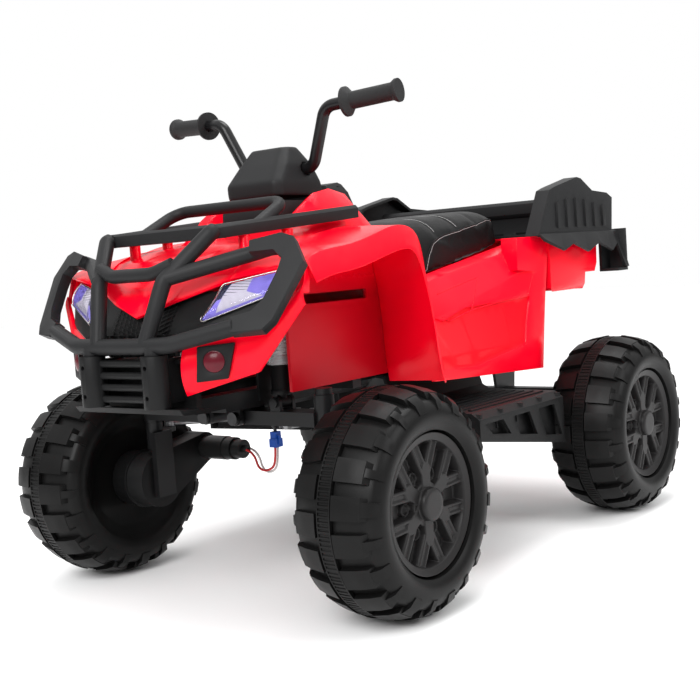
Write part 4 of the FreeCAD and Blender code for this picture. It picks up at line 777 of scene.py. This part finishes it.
def lamp_point(k, t, depth):
    """Lamp face in millimetres: at width k a parabola through its three lines, moved in by depth."""
    s = k * LAMP_SPAN / LAMP_SCALE
    at = [np.stack([np.interp(s, LAMP_STOPS, column) for column in line.T], -1)
          for line in lamp_lines(LAMP_STOPS)]
    t = t[..., None]
    yz = at[0] * (1 - t) * (1 - 2 * t) + at[1] * 4 * t * (1 - t) + at[2] * t * (2 * t - 1)
    slope = at[0] * (4 * t - 3) + at[1] * (4 - 8 * t) + at[2] * (4 * t - 1)
    normal = np.stack([-slope[..., 1], slope[..., 0]], -1)
    normal /= np.maximum(np.linalg.norm(normal, axis=-1, keepdims=True), 1e-9)
    yz = yz - normal * np.asarray(depth)[..., None]
    return np.concatenate([(LAMP_START + k * LAMP_SPAN)[..., None], yz], -1)


def lamp_shell(outer, inner):
    """Closed sheet between two depths of the lamp face."""
    k, t = np.meshgrid(np.linspace(0.0, 1.0, 41), np.linspace(0.0, 1.0, 17), indexing="ij")
    front = lamp_point(k, t, np.full_like(k, outer)) * MM
    back = lamp_point(k, t, np.full_like(k, inner)) * MM
    rows, cols = k.shape
    faces = grid_faces(rows, cols).tolist()
    count = rows * cols
    faces += [[i + count for i in f[::-1]] for f in faces]
    rim = [i * cols for i in range(rows)] + [(rows - 1) * cols + j for j in range(1, cols)]
    rim += [i * cols + cols - 1 for i in range(rows - 2, -1, -1)] + list(range(cols - 2, 0, -1))
    faces += [[a, b, b + count, a + count] for a, b in zip(rim, rim[1:] + rim[:1])]
    return np.concatenate([front.reshape(-1, 3), back.reshape(-1, 3)]), faces


def lamp_rim():
    """Path round the lamp face: along its lower edge, up its outer end, back along the top and down."""
    s = np.linspace(0, 1, 40)
    r = np.linspace(0, 1, 12)
    k = np.concatenate([s, 0 * r + 1, s[::-1], 0 * r])
    t = np.concatenate([0 * s, r, 0 * s + 1, r[::-1]])
    path = lamp_point(k, t, 0 * k + TRIM_SINK) * MM
    apart = np.linalg.norm(np.diff(path, axis=0), axis=1) > 1e-5
    return path[np.concatenate([[True], apart])]


def put_reflector(word, side, material):
    """Fluted sheet behind the lamp's cover, with its place across and up the lamp as a map."""
    k, t = np.meshgrid(np.linspace(0.008, 0.992, 81), np.linspace(0.015, 0.985, 25), indexing="ij")
    flute = FLUTE_DEPTH * np.abs(((k * FLUTES + t * FLUTE_LEAN) % 1.0) - 0.5)
    points = flipped(lamp_point(k, t, REFLECTOR_DEPTH + flute) * MM, side)
    reflector = put_mesh("lamp_reflector_" + word, points, grid_faces(*k.shape), material, "chassis",
                         "lamp_clear", outward=False)
    mesh = reflector.data
    if side > 0:
        mesh.flip_normals()
    corner = np.empty(len(mesh.loops), int)
    mesh.loops.foreach_get("vertex_index", corner)
    spread = np.stack([k, t], -1).reshape(-1, 2)[corner]
    mesh.uv_layers.new(name="along").data.foreach_set("uv", spread.reshape(-1))


class QUAD_OT_lamps(bpy.types.Operator):
    """Headlamp covers, reflectors and bright edges"""
    bl_idname = "quad.lamps"
    bl_label = "Headlamps"

    def execute(self, context):
        cover = clear_cover()
        # The reflectors' finish has its reflections painted into its colour.
        mirror = lamp_painted_reflections()
        trim = bright_trim()
        points, faces = lamp_shell(0.0, COVER_THICK)
        rim = lamp_rim()
        for side, word in SIDES:
            lens = put_mesh("lamp_cover_" + word, flipped(points, side), faces, cover, "chassis",
                            "lamp_clear")
            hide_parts("headlamp_lens_" + word)
            put_reflector(word, side, mirror)
            put_mesh("lamp_edge_" + word, *tube_parts(flipped(rim, side), TRIM_R, 8), trim, "chassis",
                     "steel")
        return {"FINISHED"}


# Grille

GRILLE_KNEE = 404
GRILLE_LOWER = ((366, -494), (388, -491), (GRILLE_KNEE, -487))
MESH_LOW = 376.0
MESH_RISE = 0.36
SLAT_TOP = 424.0
SLAT_PITCH = 6.0
SLAT_HALF = 57
SLAT_R = 0.0014
LINK_TOP = 418
LINK_PITCH = 9.0
LINK_HALF = 54.0
LINK_R = 0.0012


def grille_face(x, z):
    """Place along the length, in millimetres, of the grille panel's face at a width and a height."""
    k = np.minimum(np.abs(x) / 60.0, 1.0)
    high = 432 + 19 * k
    upper = -487 + (10 + 20 * k) * np.clip((z - GRILLE_KNEE) / (high - GRILLE_KNEE), 0, 1)
    return np.where(z > GRILLE_KNEE, upper, table(z, GRILLE_LOWER))


def grille_bar(x, z, proud, radius):
    """Thin bar along the grille's face through the given widths and heights."""
    return tube_parts(np.stack([x, grille_face(x, z) - proud, z], -1) * MM, radius, 6)


class QUAD_OT_grille(bpy.types.Operator):
    """Mesh of V-shaped slats and short links on the grille panel"""
    bl_idname = "quad.grille"
    bl_label = "Grille"

    def execute(self, context):
        parts = []
        for level in np.arange(MESH_LOW, SLAT_TOP, SLAT_PITCH):
            x = np.linspace(-SLAT_HALF, SLAT_HALF, 39)
            parts.append(grille_bar(x, level + MESH_RISE * np.abs(x), 0.6, SLAT_R))
        for middle in np.arange(-LINK_HALF, LINK_HALF + 1.0, LINK_PITCH):
            z = np.linspace(MESH_LOW, LINK_TOP, 12) + MESH_RISE * abs(middle)
            parts.append(grille_bar(np.full(len(z), middle), z, 0.2, LINK_R))
        black = NODES["grille_panel"].data.materials[0]
        put_mesh("grille_mesh", *gather(parts), black, "chassis", "black_plastic")
        return {"FINISHED"}


# Side panels

PANEL_CREASES = (((-22, 377), (-4, 370), (57, 382), (219, 398), (238, 432)),
                 ((-8, 413), (104, 434), (57, 382)))
PANEL_FLARE = ((-92, 0), (30, 0.1), (150, 0.35), (230, 0.8), (BLOCK_Y, 1.0))
PANEL_FOOT = (202, 318)
PANEL_SKIN = 3.0
CREASE_STEPS = 24
CREASE_SINK = 0.3
CREASE_R = 0.0010


def panel_face(y, z):
    """Half width in millimetres of a side panel's outer face.

    Straight runs join its edge, knee and foot, and the skin's thickness is added square to each run.
    """
    flare = table(y, PANEL_FLARE)
    edge = panel_edge(y)
    knee_x, knee_z = 172 + 30 * flare, edge - 62 + 34 * flare
    edge_x, edge_z = 146 + 44 * flare, edge - 9 + 10 * flare
    foot_x, foot_z = PANEL_FOOT
    lower = (foot_x - knee_x) / (knee_z - foot_z)
    upper = (knee_x - edge_x) / (edge_z - knee_z)
    x = np.where(z < knee_z, knee_x + lower * (knee_z - z), edge_x + upper * (edge_z - z))
    return x + PANEL_SKIN * np.sqrt(1 + np.where(z < knee_z, lower, upper) ** 2)


class QUAD_OT_creases(bpy.types.Operator):
    """Raised crease lines on the side panels"""
    bl_idname = "quad.creases"
    bl_label = "Panel creases"

    def execute(self, context):
        red = NODES["rear_body"].data.materials[0]
        for side, word in SIDES:
            parts = []
            for line in PANEL_CREASES:
                y, z = even_run(line, CREASE_STEPS)
                path = np.stack([panel_face(y, z) - CREASE_SINK, y, z], -1) * MM
                parts.append(tube_parts(flipped(path, side), CREASE_R, 8))
            put_mesh("panel_creases_" + word, *gather(parts), red, "chassis", "red_gloss")
        return {"FINISHED"}


# Wheels

BAND_RIBS = 150
BAND_STEPS = 6
BAND_HALF = 10.5
BAND_EDGE_R = 153.4
BAND_LOW_R = 151.9
BAND_RIB = 1.4
BAND_SUNK_R = 148.0
DISC_R = 93.4
DISC_STEPS = 480
SPOKE_TURN = np.pi / 3
PRONG_START = np.array([43.0, 3.0])
PRONG_END = np.array([84.5, 25.0])
FORK_R = 47.0
BOLT_R = 41.0
WELL_R = 15.2

# Heights by radius for the disc's face and back, and by distance for stem, prong and bolt seat.
DISC_FACE = ((0, 28), (18.5, 28), (19.5, 27.6), (21.6, 26.6), (22.2, 16), (29, 16), (32, 4),
             (78, 4), (83, 20.5), (92, 23.6), (DISC_R, 24))
DISC_BACK = ((DISC_R, 23.8), (DISC_R, 22.5), (DISC_R, 0), (WELL_R, 0), (WELL_R, 23), (0, 23))
STEM = ((0, 17.5), (8.6, 17.5), (9.4, 16.6), (12.4, 4))
PRONG = ((0, 15.4), (2.8, 15.4), (3.8, 17.5), (7.0, 17.5), (7.8, 16.6), (10.6, 4))
BOLT_SEAT = ((0, 6), (5.5, 6), (6.8, 10), (8.6, 10), (10.6, 4))


def tread_band(centre):
    """Ring round the tyre whose radius steps up and down: fine cross ribs between plain edges."""
    a = np.linspace(0, 2 * np.pi, BAND_STEPS * BAND_RIBS, endpoint=False)[:, None]
    ribbed = BAND_LOW_R + BAND_RIB * (np.sin(BAND_RIBS * a) > 0)
    x = np.array([-BAND_HALF, -BAND_HALF, -8.6, -8.4, 8.4, 8.6, BAND_HALF, BAND_HALF])
    edge = [BAND_SUNK_R, BAND_EDGE_R, BAND_EDGE_R, 0]
    flat = np.array(edge + edge[::-1])
    r = np.where(flat > 0, flat, ribbed)
    points = np.stack([x + 0 * r, r * np.cos(a), r * np.sin(a)], -1) * MM
    return points + centre, grid_faces(len(a), len(x), True, True)


def disc_height(r, a):
    """Height of a wheel's face by radius and angle: cap, hub and rim, and six grooved forked spokes.

    Each spoke is the greatest of the heights by the distance to its stem, to its prong and to the bolt
    seat beside it, in axes u along and v across its middle line.
    """
    turn = np.abs(np.mod(a, SPOKE_TURN) - SPOKE_TURN / 2)
    u = r * np.cos(turn)
    v = r * np.sin(turn)
    stem = np.hypot(v, np.maximum(u - FORK_R, 0))
    (start_u, start_v), run = PRONG_START, PRONG_END - PRONG_START
    along = np.clip(((u - start_u) * run[0] + (v - start_v) * run[1]) / (run @ run), 0, 1)
    prong = np.hypot(u - start_u - along * run[0], v - start_v - along * run[1])
    seat = np.hypot(u - BOLT_R * np.cos(SPOKE_TURN / 2), v - BOLT_R * np.sin(SPOKE_TURN / 2))
    height = np.maximum(table(r, DISC_FACE), table(stem, STEM))
    height = np.maximum(height, table(prong, PRONG))
    return np.maximum(height, table(seat, BOLT_SEAT))


def spoked_disc(low, high):
    """Wheel disc in its node's box: rings at disc_height, then the rim and a back with a nut well."""
    side = np.sign(low[0] + high[0])
    inner = low[0] if side > 0 else high[0]
    r = np.concatenate([np.linspace(0, 19, 6), np.linspace(19.8, 23, 7),
                        np.linspace(24, DISC_R - 1, 78)])
    a = np.linspace(0, 2 * np.pi, DISC_STEPS, endpoint=False)
    front = disc_height(r[:, None], a[None, :])
    back_r, back = np.array(DISC_BACK, float).T
    r = np.concatenate([r, back_r])[:, None]
    height = np.concatenate([front, np.repeat(back[:, None], len(a), 1)])
    points = np.stack([inner / MM + side * height, r * np.cos(a), r * np.sin(a)], -1) * MM
    middle = (low + high) / 2
    return points + np.array([0, middle[1], middle[2]]), grid_faces(len(r), len(a), False, True)


class QUAD_OT_wheels(bpy.types.Operator):
    """Moulded spokes of each wheel and the ribbed band round each tyre"""
    bl_idname = "quad.wheels"
    bl_label = "Wheels"

    def execute(self, context):
        rubber = NODES["tyre_front_left"].data.materials[0]
        plastic = NODES["wheel_disc_front_left"].data.materials[0]
        for wheel in WHEELS:
            body = "wheel_" + wheel
            low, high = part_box("tyre_" + wheel)
            points, faces = tread_band(np.array(low + high) / 2)
            put_mesh("tread_band_" + wheel, points, faces, rubber, body, "tyre_black", smooth=False)
            points, faces = spoked_disc(*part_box("wheel_disc_" + wheel))
            disc = put_mesh("spoked_disc_" + wheel, points, faces, plastic, body, "wheel_grey")
            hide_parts("wheel_disc_" + wheel)
        return {"FINISHED"}


# Shock springs

SHOCK_AT = (98.0, -322.0)
COIL_R = 10.0
COIL_WIRE = 1.4
COIL_TURNS = 5
COIL_STEPS = 36
COIL_LOW = 349.7
COIL_HIGH = 383.0
COIL_DRAWN = 0.8


def coil_path(side):
    """Helix up a shock: r (cos a, sin a) round its axis, rising evenly with a, r less at its foot."""
    turn = np.linspace(0, COIL_TURNS, COIL_STEPS * COIL_TURNS + 1)
    a = 2 * np.pi * turn
    r = COIL_R - COIL_DRAWN * np.clip(1.5 - turn, 0, 1)
    x = SHOCK_AT[0] + r * np.cos(a)
    z = COIL_LOW + (COIL_HIGH - COIL_LOW) * turn / COIL_TURNS
    return flipped(np.stack([x, SHOCK_AT[1] + r * np.sin(a), z], -1) * MM, side)


class QUAD_OT_springs(bpy.types.Operator):
    """Coil springs round the shocks"""
    bl_idname = "quad.springs"
    bl_label = "Shock springs"

    def execute(self, context):
        steel = plated_steel("bright_steel", 0.75)
        for side, word in SIDES:
            points, faces = tube_parts(coil_path(side), COIL_WIRE * MM)
            coil = put_mesh("shock_coil_" + word, points, faces, steel, "chassis", "steel")
            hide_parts("shock_spring_" + word)
            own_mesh(coil)
        return {"FINISHED"}


# Motor lead

WIRE_R = 1.9
WIRE_APART = 5.0
WIRE_DROP = 4
SHEATH_R = 2.6
SHEATH_ROUTE = ((-6, -228, 222.3), (-6, -228, 238.3), (-48, -270.0, 256), (-48, -303.6, 260))


def wire_route(drop, shift):
    """Route of a wire from the motor's end, down in a loop and up into the plug, in millimetres."""
    y = -222.0 + shift
    end = -228.0 + 0.6 * shift
    return ((-71.4, y, 190), (-55.4, y, 186), (-46.7, y, 157 - drop), (-12, end, 163 - drop),
            (-6, end, 186), (-6, end, 197.7))


def smooth_tube(route, radius):
    """Tube along the NURBS spline of order 3 whose control points are the route's, in millimetres."""
    curve = bpy.data.curves.new("run", "CURVE")
    curve.dimensions = "3D"
    spline = curve.splines.new("NURBS")
    spline.points.add(len(route) - 1)
    spline.points.foreach_set("co", np.c_[np.array(route) * MM, np.ones(len(route))].reshape(-1))
    spline.order_u = 3
    spline.use_endpoint_u = True
    holder = put_object("run", curve)
    line = evaluated_mesh(holder)
    points = coordinates(line.vertices)
    bpy.data.objects.remove(holder)
    bpy.data.curves.remove(curve)
    bpy.data.meshes.remove(line)
    return tube_parts(points, radius * MM, 12)


class QUAD_OT_lead(bpy.types.Operator):
    """Motor lead that runs between the arm and the knuckle"""
    bl_idname = "quad.lead"
    bl_label = "Motor lead"

    def execute(self, context):
        parts = [smooth_tube(wire_route(0, -WIRE_APART), WIRE_R),
                 smooth_tube(wire_route(WIRE_DROP, WIRE_APART), WIRE_R),
                 smooth_tube(SHEATH_ROUTE, SHEATH_R)]
        lead = put_mesh("motor_wires", *gather(parts), paired_wires(), None, "lead_rubber")
        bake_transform(lead)
        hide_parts("motor_lead")
        return {"FINISHED"}


# Handlebar pod

POD_VOXEL = 0.0025
POD_ROUNDS = 16


class QUAD_OT_pod(bpy.types.Operator):
    """Handlebar pod with its edges rounded as a moulding's are"""
    bl_idname = "quad.pod"
    bl_label = "Handlebar pod"

    def execute(self, context):
        mesh = NODES["handlebar_pod"].data.copy()
        tidy_mesh(mesh)
        pod = put_object("rounded_pod", mesh)
        voxels(pod, POD_VOXEL)
        soft = pod.modifiers.new("soft", "SMOOTH")
        soft.factor = 0.5
        soft.iterations = POD_ROUNDS
        apply_modifiers(pod)
        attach(pod, "steering")
        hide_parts("handlebar_pod")
        return {"FINISHED"}


# Stage

FLOOR_HALF = 9.0
SKY_LOW = 0.3
SKY_RISE = 0.95
SKY_TOP = 0.6
LIGHTS = (("key", (0.8, -3.0, 2.3), 1.8, 105), ("side", (3.0, 0.4, 2.2), 1.6, 36),
          ("top", (0.2, 0.6, 3.4), 1.6, 50))
LIGHTS_AIM = Vector((0, 0, 0.35))
CAMERA_AT = (1.1799, -1.5292, 0.4791)
CAMERA_AZIMUTH, CAMERA_HEIGHT, CAMERA_ROLL = (math.radians(v) for v in (38.3, 4.54, -4.06))


def pale_floor(at):
    return {"Base Color": (0.93, 0.93, 0.93, 1), "Roughness": 0.55 + 0.1 * at.noise(3.0)}


def put_floor():
    mesh = bpy.data.meshes.new("floor")
    corners = ((-1, -1), (1, -1), (1, 1), (-1, 1))
    mesh.from_pydata([(FLOOR_HALF * x, FLOOR_HALF * y, 0) for x, y in corners], [], [(0, 1, 2, 3)])
    mesh.materials.append(finish("pale_floor", pale_floor))
    return put_object("floor", mesh)


def light_sky(scene):
    """White where the camera looks straight at it, and otherwise brighter from the horizon upwards."""
    world = bpy.data.worlds.new("studio")
    scene.world = world
    world.use_nodes = True
    tree = world.node_tree
    back = tree.nodes["Background"]
    back.inputs["Color"].default_value = (1.0, 1.0, 1.0, 1.0)
    height = Wire(tree).node("ShaderNodeTexCoord", None, None, "Generated").axis("Z")
    seen = height.node("ShaderNodeLightPath", None, None, "Is Camera Ray")
    strength = height.sum("MAXIMUM", seen, SKY_LOW + SKY_RISE * height.between(0.0, SKY_TOP))
    tree.links.new(strength.socket, back.inputs["Strength"])


def put_lights(power):
    """Area lights that face the middle of the quad bike."""
    for name, at, size, watts in LIGHTS:
        lamp = bpy.data.lights.new(name, "AREA")
        lamp.size = size
        lamp.energy = watts * power
        lit = put_object(name, lamp)
        lit.location = at
        lit.rotation_euler = (LIGHTS_AIM - Vector(at)).to_track_quat("-Z", "Y").to_euler()


def camera_turn():
    """Axes of the camera: backwards by azimuth and height, right and up turned about it by the roll."""
    level = math.cos(CAMERA_HEIGHT)
    backwards = Vector((math.sin(CAMERA_AZIMUTH) * level, -math.cos(CAMERA_AZIMUTH) * level,
                        math.sin(CAMERA_HEIGHT)))
    right = Vector((math.cos(CAMERA_AZIMUTH), math.sin(CAMERA_AZIMUTH), 0.0))
    up = backwards.cross(right)
    across = right * math.cos(CAMERA_ROLL) + up * math.sin(CAMERA_ROLL)
    above = up * math.cos(CAMERA_ROLL) - right * math.sin(CAMERA_ROLL)
    return Matrix((across, above, backwards)).transposed().to_4x4()


class QUAD_OT_stage(bpy.types.Operator):
    """Pale floor, soft studio light and the camera"""
    bl_idname = "quad.stage"
    bl_label = "Stage"

    def execute(self, context):
        scene = context.scene
        scene.view_settings.view_transform = "Standard"
        floor = put_floor()
        light_sky(scene)
        put_lights(sizes().light)
        lens = bpy.data.cameras.new("camera")
        lens.sensor_width = 36.0
        lens.lens = sizes().lens
        camera = put_object("camera", lens)
        camera.matrix_world = Matrix.Translation(CAMERA_AT) @ camera_turn()
        scene.camera = camera
        return {"FINISHED"}


class QUAD_PT_panel(bpy.types.Panel):
    """Shows the quad bike's colours, sizes and steps"""
    bl_idname = "QUAD_PT_panel"
    bl_label = "Quad bike"
    bl_space_type = "VIEW_3D"
    bl_region_type = "UI"
    bl_category = "Quad bike"

    def draw(self, context):
        for group in (context.scene.quad_colours, context.scene.quad_sizes):
            for key in group.bl_rna.properties.keys():
                if key not in ("rna_type", "name"):
                    self.layout.prop(group, key)
        for step in STEPS:
            self.layout.operator(step.bl_idname)


STEPS = (QUAD_OT_finishes, QUAD_OT_seat, QUAD_OT_lamps, QUAD_OT_grille, QUAD_OT_creases,
         QUAD_OT_wheels, QUAD_OT_springs, QUAD_OT_lead, QUAD_OT_pod, QUAD_OT_stage)
CLASSES = (QuadColours, QuadSizes) + STEPS + (QUAD_PT_panel,)


def register():
    for one in CLASSES:
        bpy.utils.register_class(one)
    bpy.types.Scene.quad_colours = bpy.props.PointerProperty(type=QuadColours)
    bpy.types.Scene.quad_sizes = bpy.props.PointerProperty(type=QuadSizes)


def unregister():
    del bpy.types.Scene.quad_sizes
    del bpy.types.Scene.quad_colours
    for one in reversed(CLASSES):
        bpy.utils.unregister_class(one)


def main():
    register()
    for step in STEPS:
        area, name = step.bl_idname.split(".")
        getattr(getattr(bpy.ops, area), name)()


if __name__ == "__main__":
    main()
